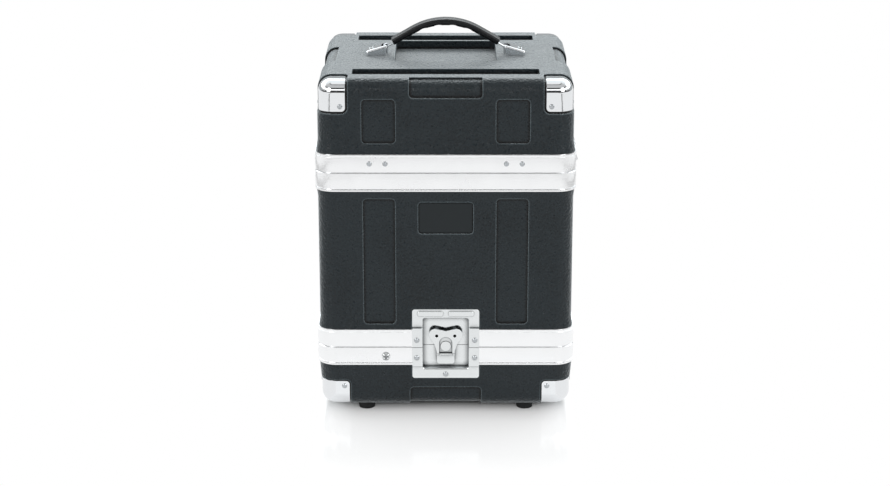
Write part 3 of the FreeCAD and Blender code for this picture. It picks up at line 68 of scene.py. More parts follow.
def linear(colour):
    """Linear RGBA of an sRGB colour written as six hex digits."""
    shares = [int(colour[place:place + 2], 16) / 255 for place in (0, 2, 4)]
    return [
        share / 12.92 if share <= 0.04045 else ((share + 0.055) / 1.055) ** 2.4 for share in shares
    ] + [1.0]


def add(tree, kind, inputs=None, stops=(), **settings):
    """One node of a tree. An input is a value, or a socket of another node to link to. The stops are the
    places and colours of a ramp."""
    node = tree.nodes.new(kind)
    for name, value in settings.items():
        setattr(node, name, value)
    if stops:
        first, last = node.color_ramp.elements
        first.position, first.color = stops[0]
        last.position, last.color = stops[-1]
        for place, colour in stops[1:-1]:
            node.color_ramp.elements.new(place).color = colour
    for name, value in (inputs or {}).items():
        if isinstance(value, bpy.types.NodeSocket):
            tree.links.new(value, node.inputs[name])
        else:
            node.inputs[name].default_value = value
    return node


def finished(name, surface_of):
    """Material whose surface is what surface_of builds in its tree."""
    material = bpy.data.materials.new(name)
    material.use_nodes = True
    tree = material.node_tree
    tree.nodes.clear()
    add(tree, "ShaderNodeOutputMaterial", {"Surface": surface_of(tree).outputs[0]})
    return material


def merged(node):
    """Own copy of a CAD node's mesh, and a bmesh of it with the loose triangles joined into whole faces."""
    mesh = frame["nodes"][node].data.copy()
    if "custom_normal" in mesh.attributes:
        mesh.attributes.remove(mesh.attributes["custom_normal"])
    work = bmesh.new()
    work.from_mesh(mesh)
    bmesh.ops.remove_doubles(work, verts=work.verts, dist=merge_reach)
    bmesh.ops.dissolve_limit(work, angle_limit=flat_angle, verts=work.verts, edges=work.edges)
    return mesh, work


def stand_in(piece, node):
    """Puts a finished piece in the place of a CAD node, on the same body."""
    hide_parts(node)
    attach(piece, riding_body[node])


def softened(node, material, radius, segments=3, rim_share=None, rim_radius=0.0):
    """Own copy of a CAD node with rounded edges, which stands in for it. rim_share gives the share of
    rim_radius that an outside edge has."""
    mesh, work = merged(node)
    mesh.name = f"{node}_finished"
    weights = work.edges.layers.float.new("bevel_weight_edge")
    for face in work.faces:
        face.smooth = True
    for edge in work.edges:
        edge.smooth = True
        if rim_share and edge.is_manifold and edge.calc_face_angle_signed() > rim_angle:
            edge[weights] = rim_share(edge)
    work.to_mesh(mesh)
    work.free()
    mesh.materials.clear()
    mesh.materials.append(material)
    piece = bpy.data.objects.new(mesh.name, mesh)
    bpy.context.collection.objects.link(piece)
    if rim_share:
        roll = piece.modifiers.new("rim", "BEVEL")
        roll.limit_method = "WEIGHT"
        roll.width = rim_radius
        roll.segments = 6
        roll.use_clamp_overlap = False
    rounding = piece.modifiers.new("edges", "BEVEL")
    rounding.limit_method = "ANGLE"
    rounding.angle_limit = sharp_angle
    rounding.width = radius
    rounding.segments = segments
    rounding.harden_normals = True
    stand_in(piece, node)
    return piece


def pebbled_polyethylene(tree):
    """Charcoal with a waxy sheen, with painted shade in the creases and a painted highlight on the outside
    edges. Pebbles of about
    1 mm are drawn at 3 mm to show, with ripples of 5 mm that change the gloss."""
    place = add(tree, "ShaderNodeTexCoord").outputs["Object"]
    pebbles = add(tree, "ShaderNodeTexVoronoi", {
        "Vector": place, "Scale": 1 / pebble_width,
    }, feature="SMOOTH_F1")
    ripples = add(tree, "ShaderNodeTexNoise", {"Vector": place, "Scale": 1 / ripple_width, "Detail": 3.0})
    skin = add(tree, "ShaderNodeMath", {
        0: ripples.outputs["Fac"], 1: 0.6, 2: pebbles.outputs["Distance"],
    }, operation="MULTIPLY_ADD")
    bump = add(tree, "ShaderNodeBump", {
        "Height": skin.outputs[0], "Strength": 0.8, "Distance": pebble_depth,
    })
    cloud = add(tree, "ShaderNodeTexNoise", {"Vector": place, "Scale": 1 / cloud_width, "Detail": 4.0})
    speckle = add(tree, "ShaderNodeMath", {0: cloud.outputs["Fac"], 1: pebbles.outputs["Distance"]})
    tone = add(tree, "ShaderNodeValToRGB", {"Fac": speckle.outputs[0]}, stops=[
        (0.4, linear("0c1215")), (1.0, linear("192125")),
    ])
    # Painted shade: within 5 mm of an inside crease the colour is darkened towards black.
    shade_ao = add(tree, "ShaderNodeAmbientOcclusion", {
        "Distance": crease_shade_reach,
    }, samples=6, only_local=True)
    painted_crease_shade = add(tree, "ShaderNodeMapRange", {
        "Value": shade_ao.outputs["AO"], "From Min": 0.86, "From Max": 0.99, "To Min": 1.0, "To Max": 0.0,
    })
    crease_shaded_tone = add(tree, "ShaderNodeMix", {
        0: painted_crease_shade.outputs[0], 6: tone.outputs[0], 7: linear("010102"),
    }, data_type="RGBA")
    # Painted highlight: on the outside edges the colour is lightened towards a light grey.
    edge = add(tree, "ShaderNodeAmbientOcclusion", {
        "Distance": edge_highlight_reach,
    }, samples=6, inside=True, only_local=True)
    painted_edge_highlight = add(tree, "ShaderNodeMapRange", {
        "Value": edge.outputs["AO"], "From Min": 0.6, "From Max": 0.9, "To Min": 1.0, "To Max": 0.0,
    })
    wear_and_highlight = add(tree, "ShaderNodeMix", {
        0: painted_edge_highlight.outputs[0], 6: crease_shaded_tone.outputs[2], 7: linear("545e62"),
    }, data_type="RGBA")
    gloss = add(tree, "ShaderNodeMapRange", {
        "Value": ripples.outputs["Fac"], "From Min": 0.36, "From Max": 0.64, "To Min": 0.25, "To Max": 0.48,
    })
    return add(tree, "ShaderNodeBsdfPrincipled", {
        "Base Color": wear_and_highlight.outputs[2], "Roughness": gloss.outputs[0], "IOR": 1.5,
        "Specular IOR Level": 0.3, "Sheen Weight": 0.5, "Sheen Roughness": 0.35,
        "Sheen Tint": linear("eff8fc"), "Normal": bump.outputs[0],
    })


polyethylene = finished("polyethylene_pebbled_charcoal", pebbled_polyethylene)
for shell in ("base_shell", "body_shell", "lid_shell"):
    softened(shell, polyethylene, shell_edge_radius)

# Badge place
# A thin plate in a shallow recess of the body's front, under the upper frame. It is moulded ABS with a
# fine grain, stuck down and left bare.

plate_edge_radius = 0.0004
plate_grain_width, plate_grain_depth = 0.0012, 0.0002


def fine_grained(tree):
    """ABS with a fine spark-eroded grain, a little more even than the shells."""
    place = add(tree, "ShaderNodeTexCoord").outputs["Object"]
    grain = add(tree, "ShaderNodeTexNoise", {
        "Vector": place, "Scale": 1 / plate_grain_width, "Detail": 3.0,
    })
    bump = add(tree, "ShaderNodeBump", {
        "Height": grain.outputs["Fac"], "Strength": 0.25, "Distance": plate_grain_depth,
    })
    tone = add(tree, "ShaderNodeValToRGB", {"Fac": grain.outputs["Fac"]}, stops=[
        (0.0, linear("0d1417")), (1.0, linear("151d20")),
    ])
    return add(tree, "ShaderNodeBsdfPrincipled", {
        "Base Color": tone.outputs[0], "Roughness": 0.36, "IOR": 1.53, "Specular IOR Level": 0.3,
        "Normal": bump.outputs[0],
    })


softened("badge_plate", finished("abs_fine_grained_black", fine_grained), plate_edge_radius)

# Edge frames
# Extruded aluminium channel, bent round the mouth of each shell, with a tongue on one half and a groove
# on the other. Satin anodised, with faint die lines along it.

die_line_length, die_line_pitch, die_line_depth = 0.3, 0.0008, 0.0002
handling_width = 0.04


def satin_anodised(tree):
    """Nearly white metal. The die lines are about 0.3 mm apart, drawn at 0.8 mm to show."""
    place = add(tree, "ShaderNodeTexCoord").outputs["Object"]
    along = add(tree, "ShaderNodeMapping", {
        "Vector": place, "Scale": (1 / die_line_length, 1 / die_line_length, 1 / die_line_pitch),
    })
    lines = add(tree, "ShaderNodeTexNoise", {"Vector": along.outputs[0], "Scale": 1.0, "Detail": 2.0})
    bump = add(tree, "ShaderNodeBump", {
        "Height": lines.outputs["Fac"], "Strength": 0.1, "Distance": die_line_depth,
    })
    handled = add(tree, "ShaderNodeTexNoise", {
        "Vector": place, "Scale": 1 / handling_width, "Detail": 5.0,
    })
    gloss = add(tree, "ShaderNodeMapRange", {
        "Value": handled.outputs["Fac"], "From Min": 0.3, "From Max": 0.7, "To Min": 0.22, "To Max": 0.28,
    })
    return add(tree, "ShaderNodeBsdfPrincipled", {
        "Base Color": linear("f8f9fa"), "Metallic": 1.0, "Roughness": gloss.outputs[0],
        "Normal": bump.outputs[0],
    })


def coat(node, material):
    """Gives a CAD node its material and leaves its shape alone."""
    mesh = frame["nodes"][node].data
    mesh.materials.clear()
    mesh.materials.append(material)


anodised = finished("aluminium_satin_anodised", satin_anodised)
for channel in ("base_frame", "body_lower_frame", "body_upper_frame", "lid_frame"):
    coat(channel, anodised)

# Ball corners
# Steel caps on the eight corners of the case, deep drawn and chromium plated. They are riveted into
# recesses of the shells.

corner_edge_radius = 0.0005
draw_ripple_width, draw_ripple_depth, finger_mark_width = 0.02, 0.0015, 0.009


def chromium_plate(tree):
    """Mirror bright, with slow ripples from drawing and faint finger marks."""
    place = add(tree, "ShaderNodeTexCoord").outputs["Object"]
    ripples = add(tree, "ShaderNodeTexNoise", {
        "Vector": place, "Scale": 1 / draw_ripple_width, "Detail": 2.0,
    })
    bump = add(tree, "ShaderNodeBump", {
        "Height": ripples.outputs["Fac"], "Strength": 0.08, "Distance": draw_ripple_depth,
    })
    marks = add(tree, "ShaderNodeTexNoise", {
        "Vector": place, "Scale": 1 / finger_mark_width, "Detail": 4.0,
    })
    gloss = add(tree, "ShaderNodeMapRange", {
        "Value": marks.outputs["Fac"], "From Min": 0.35, "From Max": 0.7, "To Min": 0.05, "To Max": 0.11,
    })
    return add(tree, "ShaderNodeBsdfPrincipled", {
        "Base Color": linear("e6e8ea"), "Metallic": 1.0, "Roughness": gloss.outputs[0],
        "Normal": bump.outputs[0],
    })


chromium = finished("steel_chromium_plate", chromium_plate)
for end in ("base", "lid"):
    for corner in ("front_left", "front_right", "rear_left", "rear_right"):
        softened(f"{end}_corner_{corner}", chromium, corner_edge_radius)

# Twist latches
# Two pressed halves of a recessed dish, riveted on. The hook, bracket, spindle and folding wing sit in the
# half below the seam. Nickel plated steel, greyer than the corners, with painted shade in the creases.

dish_edge_radius, wing_edge_radius = 0.0005, 0.0004
dish_half_width, plate_level, pad_level = 0.0355, 0.1965, 0.1983
mouth_radius, pad_share = 0.0024, 0.55
level_play, pad_play, side_play, seam_play = 0.0005, 0.0002, 0.0003, 0.001
# The last value is the reach of the painted shade near inside edges.
press_ripple_width, press_ripple_depth, wear_width, nickel_shade_reach = 0.014, 0.001, 0.006, 0.01


def nickel_plate(tree):
    """Soft mirror, with painted shade within 10 mm of an inside edge."""
    place = add(tree, "ShaderNodeTexCoord").outputs["Object"]
    ripples = add(tree, "ShaderNodeTexNoise", {
        "Vector": place, "Scale": 1 / press_ripple_width, "Detail": 2.0,
    })
    bump = add(tree, "ShaderNodeBump", {
        "Height": ripples.outputs["Fac"], "Strength": 0.1, "Distance": press_ripple_depth,
    })
    # Painted shade: the colour darkens near inside edges and in hollows, down to a mid grey.
    shade_ao = add(tree, "ShaderNodeAmbientOcclusion", {"Distance": nickel_shade_reach}, samples=8)
    tone = add(tree, "ShaderNodeValToRGB", {"Fac": shade_ao.outputs["AO"]}, stops=[
        (0.44, linear("5c5f61")), (0.92, linear("e2e5e6")),
    ])
    marks = add(tree, "ShaderNodeTexNoise", {"Vector": place, "Scale": 1 / wear_width, "Detail": 4.0})
    gloss = add(tree, "ShaderNodeMapRange", {
        "Value": marks.outputs["Fac"], "From Min": 0.35, "From Max": 0.7, "To Min": 0.1, "To Max": 0.17,
    })
    return add(tree, "ShaderNodeBsdfPrincipled", {
        "Base Color": tone.outputs[0], "Metallic": 1.0, "Roughness": gloss.outputs[0],
        "Normal": bump.outputs[0],
    })


def dish_rim(outward, seam):
    """Rim of a dish that faces outward with its seam at that height. The mouth has the full radius, and
    the two raised pads above it about half of that."""
    across = Vector((0, 0, 1)).cross(outward)

    def share(edge):
        levels = [vertex.co.dot(outward) for vertex in edge.verts]
        sides = [abs(vertex.co.dot(across)) for vertex in edge.verts]
        heights = [abs(vertex.co.z - seam) for vertex in edge.verts]
        sloped = max(levels) - min(levels) > level_play
        if min(levels) < plate_level or sloped or max(heights) < seam_play:
            return 0.0
        if abs(levels[0] - pad_level) < pad_play:
            return pad_share
        return 1.0 if max(sides) < dish_half_width + side_play else 0.0

    return share


nickel = finished("steel_nickel_plate", nickel_plate)
joints = {joint["name"]: joint for joint in frame["record"]["behaviour"]["joints"]}
for latch in ("front_latch", "side_latch"):
    turning = joints[f"{latch}_turn"]
    rim = dish_rim(Vector(turning["axis"]), turning["pos_m"][2])
    for half in ("keeper", "dish"):
        softened(f"{latch}_{half}", nickel, dish_edge_radius, rim_share=rim, rim_radius=mouth_radius)
    for moving in ("wing", "spindle", "hook", "bracket"):
        softened(f"{latch}_{moving}", nickel, wing_edge_radius, segments=2)

# Hinges
# Pressed steel leaves with rolled knuckles on a drawn pin, nickel plated like the latches. Two at the rear
# of the lower seam and two at the right of the upper seam, riveted through the frames.

hinge_edge_radius = 0.0003

for hinge in ("base_hinge_left", "base_hinge_right", "lid_hinge_front", "lid_hinge_rear"):
    for leaf in ("lower_leaf", "upper_leaf"):
        softened(f"{hinge}_{leaf}", nickel, hinge_edge_radius, segments=2)
for pins in ("base_hinge_pins", "lid_hinge_pins"):
    softened(pins, nickel, hinge_edge_radius, segments=2)

# Handle
# A spring steel strap, zinc plated, runs through a moulded elastomer grip. Its ends slide a little in two
# chromium plated caps, which are screwed to the lid.

strap_edge_radius, grip_edge_radius, cap_edge_radius = 0.0002, 0.0008, 0.0005
spangle_width, spangle_depth = 0.003, 0.0003
leather_grain_width, leather_grain_depth, grip_wear_width = 0.0015, 0.0004, 0.02


def zinc_plate(tree):
    """Bluish grey plate with fine spangle, duller than nickel."""
    place = add(tree, "ShaderNodeTexCoord").outputs["Object"]
    spangle = add(tree, "ShaderNodeTexVoronoi", {"Vector": place, "Scale": 1 / spangle_width})
    tone = add(tree, "ShaderNodeValToRGB", {"Fac": spangle.outputs["Distance"]}, stops=[
        (0.0, linear("c3c7ca")), (1.0, linear("b2b6b9")),
    ])
    bump = add(tree, "ShaderNodeBump", {
        "Height": spangle.outputs["Distance"], "Strength": 0.05, "Distance": spangle_depth,
    })
    return add(tree, "ShaderNodeBsdfPrincipled", {
        "Base Color": tone.outputs[0], "Metallic": 1.0, "Roughness": 0.26, "Normal": bump.outputs[0],
    })


def grained_elastomer(tree):
    """Black grip rubber with a leather grain of about 1.5 mm, worn to a low gloss."""
    place = add(tree, "ShaderNodeTexCoord").outputs["Object"]
    grain = add(tree, "ShaderNodeTexVoronoi", {
        "Vector": place, "Scale": 1 / leather_grain_width,
    }, feature="DISTANCE_TO_EDGE")
    bump = add(tree, "ShaderNodeBump", {
        "Height": grain.outputs["Distance"], "Strength": 0.25, "Distance": leather_grain_depth,
    })
    wear_and_highlight = add(tree, "ShaderNodeTexNoise", {"Vector": place, "Scale": 1 / grip_wear_width, "Detail": 4.0})
    tone = add(tree, "ShaderNodeValToRGB", {"Fac": wear_and_highlight.outputs["Fac"]}, stops=[
        (0.0, linear("0f1012")), (1.0, linear("17191b")),
    ])
    gloss = add(tree, "ShaderNodeMapRange", {
        "Value": wear_and_highlight.outputs["Fac"], "From Min": 0.3, "From Max": 0.7, "To Min": 0.22, "To Max": 0.3,
    })
    return add(tree, "ShaderNodeBsdfPrincipled", {
        "Base Color": tone.outputs[0], "Roughness": gloss.outputs[0], "IOR": 1.5,
        "Specular IOR Level": 0.25, "Normal": bump.outputs[0],
    })


zinc = finished("steel_zinc_plate", zinc_plate)
softened("handle_strap", zinc, strap_edge_radius, segments=2)
softened("handle_grip", finished("elastomer_grained_black", grained_elastomer), grip_edge_radius)
for side in ("left", "right"):
    softened(f"handle_cap_{side}", chromium, cap_edge_radius)

# Rivets and guide tongues
# Domed steel rivets hold the corners, latches, hinges and tongues. Four bent steel tongues inside the lid
# guide it on to the body. All are zinc plated.

for fixing in ("base_rivets", "body_rivets", "lid_rivets", "guide_tongues_front", "guide_tongues_rear"):
    coat(fixing, zinc)

# Screws
# Round headed steel screws, nickel plated, hold the caps, the feet and the base frame. Each has a punched
# cross recess, dark with painted shade. The sizes of the recess are shares of the radius of the head's flat
# crown.

arm_length, arm_width, recess_depth = 1.8, 0.5, 1.0
least_crown_corners, largest_crown_share = 8, 0.8
screw_sharp_angle = math.radians(25)


def node_group(name, inputs):
    """Geometry Nodes group with a geometry output and the named inputs, and the sockets of its inputs."""
    group = bpy.data.node_groups.new(name, "GeometryNodeTree")
    group.interface.new_socket("Geometry", in_out="OUTPUT", socket_type="NodeSocketGeometry")
    for label, kind in inputs.items():
        group.interface.new_socket(label, in_out="INPUT", socket_type=f"NodeSocket{kind}")
    return group, add(group, "NodeGroupInput").outputs


def shaped(name, mesh, group, values):
    """Plain mesh that a Geometry Nodes group makes from a mesh, with the group's named inputs set."""
    maker = bpy.data.objects.new(f"{name}_maker", mesh)
    bpy.context.collection.objects.link(maker)
    shaping = maker.modifiers.new(group.name, "NODES")
    shaping.node_group = group
    for item in group.interface.items_tree:
        if item.in_out == "INPUT" and item.name in values:
            shaping[item.identifier] = values[item.name]
    evaluated = maker.evaluated_get(bpy.context.evaluated_depsgraph_get())
    made = bpy.data.meshes.new_from_object(evaluated)
    bpy.data.objects.remove(maker)
    return made


punched, given = node_group("cross_recess", {
    "Screws": "Geometry", "Crowns": "Object", "Arm length": "Float", "Arm width": "Float", "Depth": "Float",
})
arms = add(punched, "GeometryNodeJoinGeometry")
for wide, long in (("Arm length", "Arm width"), ("Arm width", "Arm length")):
    size = add(punched, "ShaderNodeCombineXYZ", {"X": given[wide], "Y": given[long], "Z": given["Depth"]})
    arm = add(punched, "GeometryNodeMeshCube", {"Size": size.outputs[0]})
    punched.links.new(arm.outputs["Mesh"], arms.inputs["Geometry"])
crowns = add(punched, "GeometryNodeObjectInfo", {"Object": given["Crowns"]})
outward = add(punched, "GeometryNodeInputNamedAttribute", {"Name": "outward"}, data_type="FLOAT_VECTOR")
radius = add(punched, "GeometryNodeInputNamedAttribute", {"Name": "radius"}, data_type="FLOAT")
turn = add(punched, "FunctionNodeAlignRotationToVector", {"Vector": outward.outputs[0]}, axis="Z")
punches = add(punched, "GeometryNodeInstanceOnPoints", {
    "Points": crowns.outputs["Geometry"], "Instance": arms.outputs[0], "Rotation": turn.outputs[0],
    "Scale": radius.outputs[0],
})
punch = add(punched, "GeometryNodeRealizeInstances", {"Geometry": punches.outputs[0]})
heads = add(punched, "GeometryNodeMeshBoolean", {
    "Mesh 1": given["Screws"], "Mesh 2": punch.outputs[0], "Self Intersection": True,
}, operation="DIFFERENCE", solver="EXACT")
whole = add(punched, "GeometryNodeRealizeInstances", {"Geometry": heads.outputs[0]})
plated = add(punched, "GeometryNodeSetMaterial", {"Geometry": whole.outputs[0], "Material": nickel})
add(punched, "NodeGroupOutput", {"Geometry": plated.outputs[0]})

for screws in ("cap_screws", "foot_screws", "frame_screw"):
    blank, work = merged(screws)
    flats = [face for face in work.faces if len(face.verts) > least_crown_corners]
    seat_area = max(face.calc_area() for face in flats)
    tops = [face for face in flats if face.calc_area() < largest_crown_share * seat_area]
    crown_mesh = bpy.data.meshes.new(f"{screws}_crowns")
    crown_mesh.from_pydata([top.calc_center_median() for top in tops], [], [])
    crown_mesh.attributes.new("outward", "FLOAT_VECTOR", "POINT").data.foreach_set(
        "vector", [share for top in tops for share in top.normal])
    crown_mesh.attributes.new("radius", "FLOAT", "POINT").data.foreach_set(
        "value", [math.sqrt(top.calc_area() / math.pi) for top in tops])
    work.to_mesh(blank)
    work.free()
    crown_points = bpy.data.objects.new(crown_mesh.name, crown_mesh)
    bpy.context.collection.objects.link(crown_points)
    screw_mesh = shaped(screws, blank, punched, {
        "Crowns": crown_points, "Arm length": arm_length, "Arm width": arm_width, "Depth": recess_depth,
    })
    bpy.data.objects.remove(crown_points)
    screw_mesh.shade_smooth()
    screw_mesh.set_sharp_from_angle(angle=screw_sharp_angle)
    screw_set = bpy.data.objects.new(f"{screws}_finished", screw_mesh)
    bpy.context.collection.objects.link(screw_set)
    stand_in(screw_set, screws)

# Feet
# Four round feet of moulded black rubber under the base. Each is held by a screw whose head is sunk in it,
# so that only the rubber touches the floor.

foot_edge_radius = 0.0006
bloom_width, bloom_depth = 0.006, 0.0003


def moulded_rubber(tree):
    """Dull black with a dusty bloom."""
    place = add(tree, "ShaderNodeTexCoord").outputs["Object"]
    bloom = add(tree, "ShaderNodeTexNoise", {"Vector": place, "Scale": 1 / bloom_width, "Detail": 5.0})
    tone = add(tree, "ShaderNodeValToRGB", {"Fac": bloom.outputs["Fac"]}, stops=[
        (0.0, linear("111213")), (1.0, linear("1d1e1f")),
    ])
    bump = add(tree, "ShaderNodeBump", {
        "Height": bloom.outputs["Fac"], "Strength": 0.15, "Distance": bloom_depth,
    })
    return add(tree, "ShaderNodeBsdfPrincipled", {
        "Base Color": tone.outputs[0], "Roughness": 0.62, "IOR": 1.52, "Specular IOR Level": 0.3,
        "Normal": bump.outputs[0],
    })


rubber = finished("rubber_moulded_black", moulded_rubber)
for foot in ("front_left", "front_right", "rear_left", "rear_right"):
    softened(f"foot_{foot}", rubber, foot_edge_radius)

# Floor board of the body
# A board cut from black ABS sheet with a haircell face. It lies on the shelf of the lower frame and
# carries the foam.

board_edge_radius = 0.0006
haircell_width, haircell_depth = 0.002, 0.0003


def haircell_sheet(tree):
    """Low gloss black. The haircell is about 1 mm, drawn at 2 mm to show."""
    place = add(tree, "ShaderNodeTexCoord").outputs["Object"]
    cells = add(tree, "ShaderNodeTexNoise", {
        "Vector": place, "Scale": 1 / haircell_width, "Detail": 2.0, "Distortion": 1.5,
    })
    bump = add(tree, "ShaderNodeBump", {
        "Height": cells.outputs["Fac"], "Strength": 0.3, "Distance": haircell_depth,
    })
    tone = add(tree, "ShaderNodeValToRGB", {"Fac": cells.outputs["Fac"]}, stops=[
        (0.0, linear("18191b")), (1.0, linear("232527")),
    ])
    return add(tree, "ShaderNodeBsdfPrincipled", {
        "Base Color": tone.outputs[0], "Roughness": 0.48, "IOR": 1.53, "Specular IOR Level": 0.35,
        "Normal": bump.outputs[0],
    })


softened("body_floor", finished("abs_haircell_black", haircell_sheet), board_edge_radius)

# Foam of the base and the body
# Blocks of open cell polyurethane foam with die cut pockets, pushed into the shells. Cut edges of foam
# always draw back a little.

foam_edge_radius = 0.0025
pore_width, pore_depth = 0.0014, 0.0008


def open_cell_foam(tree):
    """Dark and dry. Pores of 0.5 mm, drawn at 1.4 mm to show."""
    place = add(tree, "ShaderNodeTexCoord").outputs["Object"]
    pores = add(tree, "ShaderNodeTexVoronoi", {"Vector": place, "Scale": 1 / pore_width})
    bump = add(tree, "ShaderNodeBump", {
        "Height": pores.outputs["Distance"], "Strength": 0.7, "Distance": pore_depth,
    })
    tone = add(tree, "ShaderNodeValToRGB", {"Fac": pores.outputs["Distance"]}, stops=[
        (0.0, linear("16181a")), (0.7, linear("3a3d40")),
    ])
    return add(tree, "ShaderNodeBsdfPrincipled", {
        "Base Color": tone.outputs[0], "Roughness": 0.95, "IOR": 1.4, "Specular IOR Level": 0.15,
        "Sheen Weight": 0.15, "Sheen Roughness": 0.5, "Normal": bump.outputs[0],
    })


foam = finished("polyurethane_foam_charcoal", open_cell_foam)
for block in ("base_foam", "body_foam", "body_foam_pad"):
    softened(block, foam, foam_edge_radius)

# Lid foam
# A sheet of convoluted polyurethane foam, glued up under the lid. Its rows of peaks press on what is
# packed below.

sheet_margin, peak_pitch, peak_height, sheet_grid = 0.003, 0.045, 0.013, 105

convoluted, given = node_group("convoluted_foam", {
    "Size": "Vector", "Middle": "Vector", "Pitch": "Float", "Peak height": "Float",
})
sheet = add(convoluted, "GeometryNodeMeshCube", {
    "Size": given["Size"], "Vertices X": sheet_grid, "Vertices Y": sheet_grid, "Vertices Z": 2,
})
spot = add(convoluted, "GeometryNodeInputPosition")
parts = add(convoluted, "ShaderNodeSeparateXYZ", {"Vector": spot.outputs[0]})
turns = add(convoluted, "ShaderNodeMath", {0: 2 * math.pi, 1: given["Pitch"]}, operation="DIVIDE")
waves = []
for axis in ("X", "Y"):
    phase = add(convoluted, "ShaderNodeMath", {
        0: parts.outputs[axis], 1: turns.outputs[0],
    }, operation="MULTIPLY")
    waves.append(add(convoluted, "ShaderNodeMath", {0: phase.outputs[0]}, operation="COSINE").outputs[0])
peaks = add(convoluted, "ShaderNodeMath", {0: waves[0], 1: waves[1]}, operation="MULTIPLY")
half_height = add(convoluted, "ShaderNodeMath", {0: given["Peak height"], 1: 0.5}, operation="MULTIPLY")
rise = add(convoluted, "ShaderNodeMath", {
    0: peaks.outputs[0], 1: half_height.outputs[0], 2: half_height.outputs[0],
}, operation="MULTIPLY_ADD")
lift = add(convoluted, "ShaderNodeCombineXYZ", {"Z": rise.outputs[0]})
underside = add(convoluted, "ShaderNodeMath", {0: parts.outputs["Z"], 1: 0.0}, operation="LESS_THAN")
waved = add(convoluted, "GeometryNodeSetPosition", {
    "Geometry": sheet.outputs["Mesh"], "Selection": underside.outputs[0], "Offset": lift.outputs[0],
})
placed = add(convoluted, "GeometryNodeTransform", {
    "Geometry": waved.outputs[0], "Translation": given["Middle"],
})
smooth = add(convoluted, "GeometryNodeSetShadeSmooth", {"Geometry": placed.outputs[0]})
whole = add(convoluted, "GeometryNodeRealizeInstances", {"Geometry": smooth.outputs[0]})
dyed = add(convoluted, "GeometryNodeSetMaterial", {"Geometry": whole.outputs[0], "Material": foam})
add(convoluted, "NodeGroupOutput", {"Geometry": dyed.outputs[0]})

sheet_low, sheet_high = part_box("lid_foam")
sheet_mesh = shaped("lid_foam", bpy.data.meshes.new("lid_foam_blank"), convoluted, {
    "Size": sheet_high - sheet_low - Vector((2 * sheet_margin, 2 * sheet_margin, 0)),
    "Middle": (sheet_low + sheet_high) / 2, "Pitch": peak_pitch, "Peak height": peak_height,
})
lid_sheet = bpy.data.objects.new("lid_foam_finished", sheet_mesh)
bpy.context.collection.objects.link(lid_sheet)
stand_in(lid_sheet, "lid_foam")

# Floor of the studio
# A large sheet of white gloss acrylic. It holds the shadow and a short reflection in front of the case,
# and runs out to plain white all round.

floor_reach = 14.0
reflection_side, reflection_end = 0.18, 0.202
front_start, front_end = -0.12, -0.46
back_start, back_end = 0.15, 0.3
dark_line_place, dark_line_half_width, dark_line_level = 1.3, 0.1, 0.07

floor_mesh = bpy.data.meshes.new("studio_floor")
floor_mesh.from_pydata([
    (-floor_reach, -floor_reach, 0), (floor_reach, -floor_reach, 0),
    (floor_reach, floor_reach, 0), (-floor_reach, floor_reach, 0),
], [], [(0, 1, 2, 3)])
floor = bpy.data.objects.new("studio_floor", floor_mesh)
bpy.context.collection.objects.link(floor)


def greys(*stops):
    """Stops of a ramp in plain grey, from places and levels."""
    return [(place, (level, level, level, 1)) for place, level in stops]


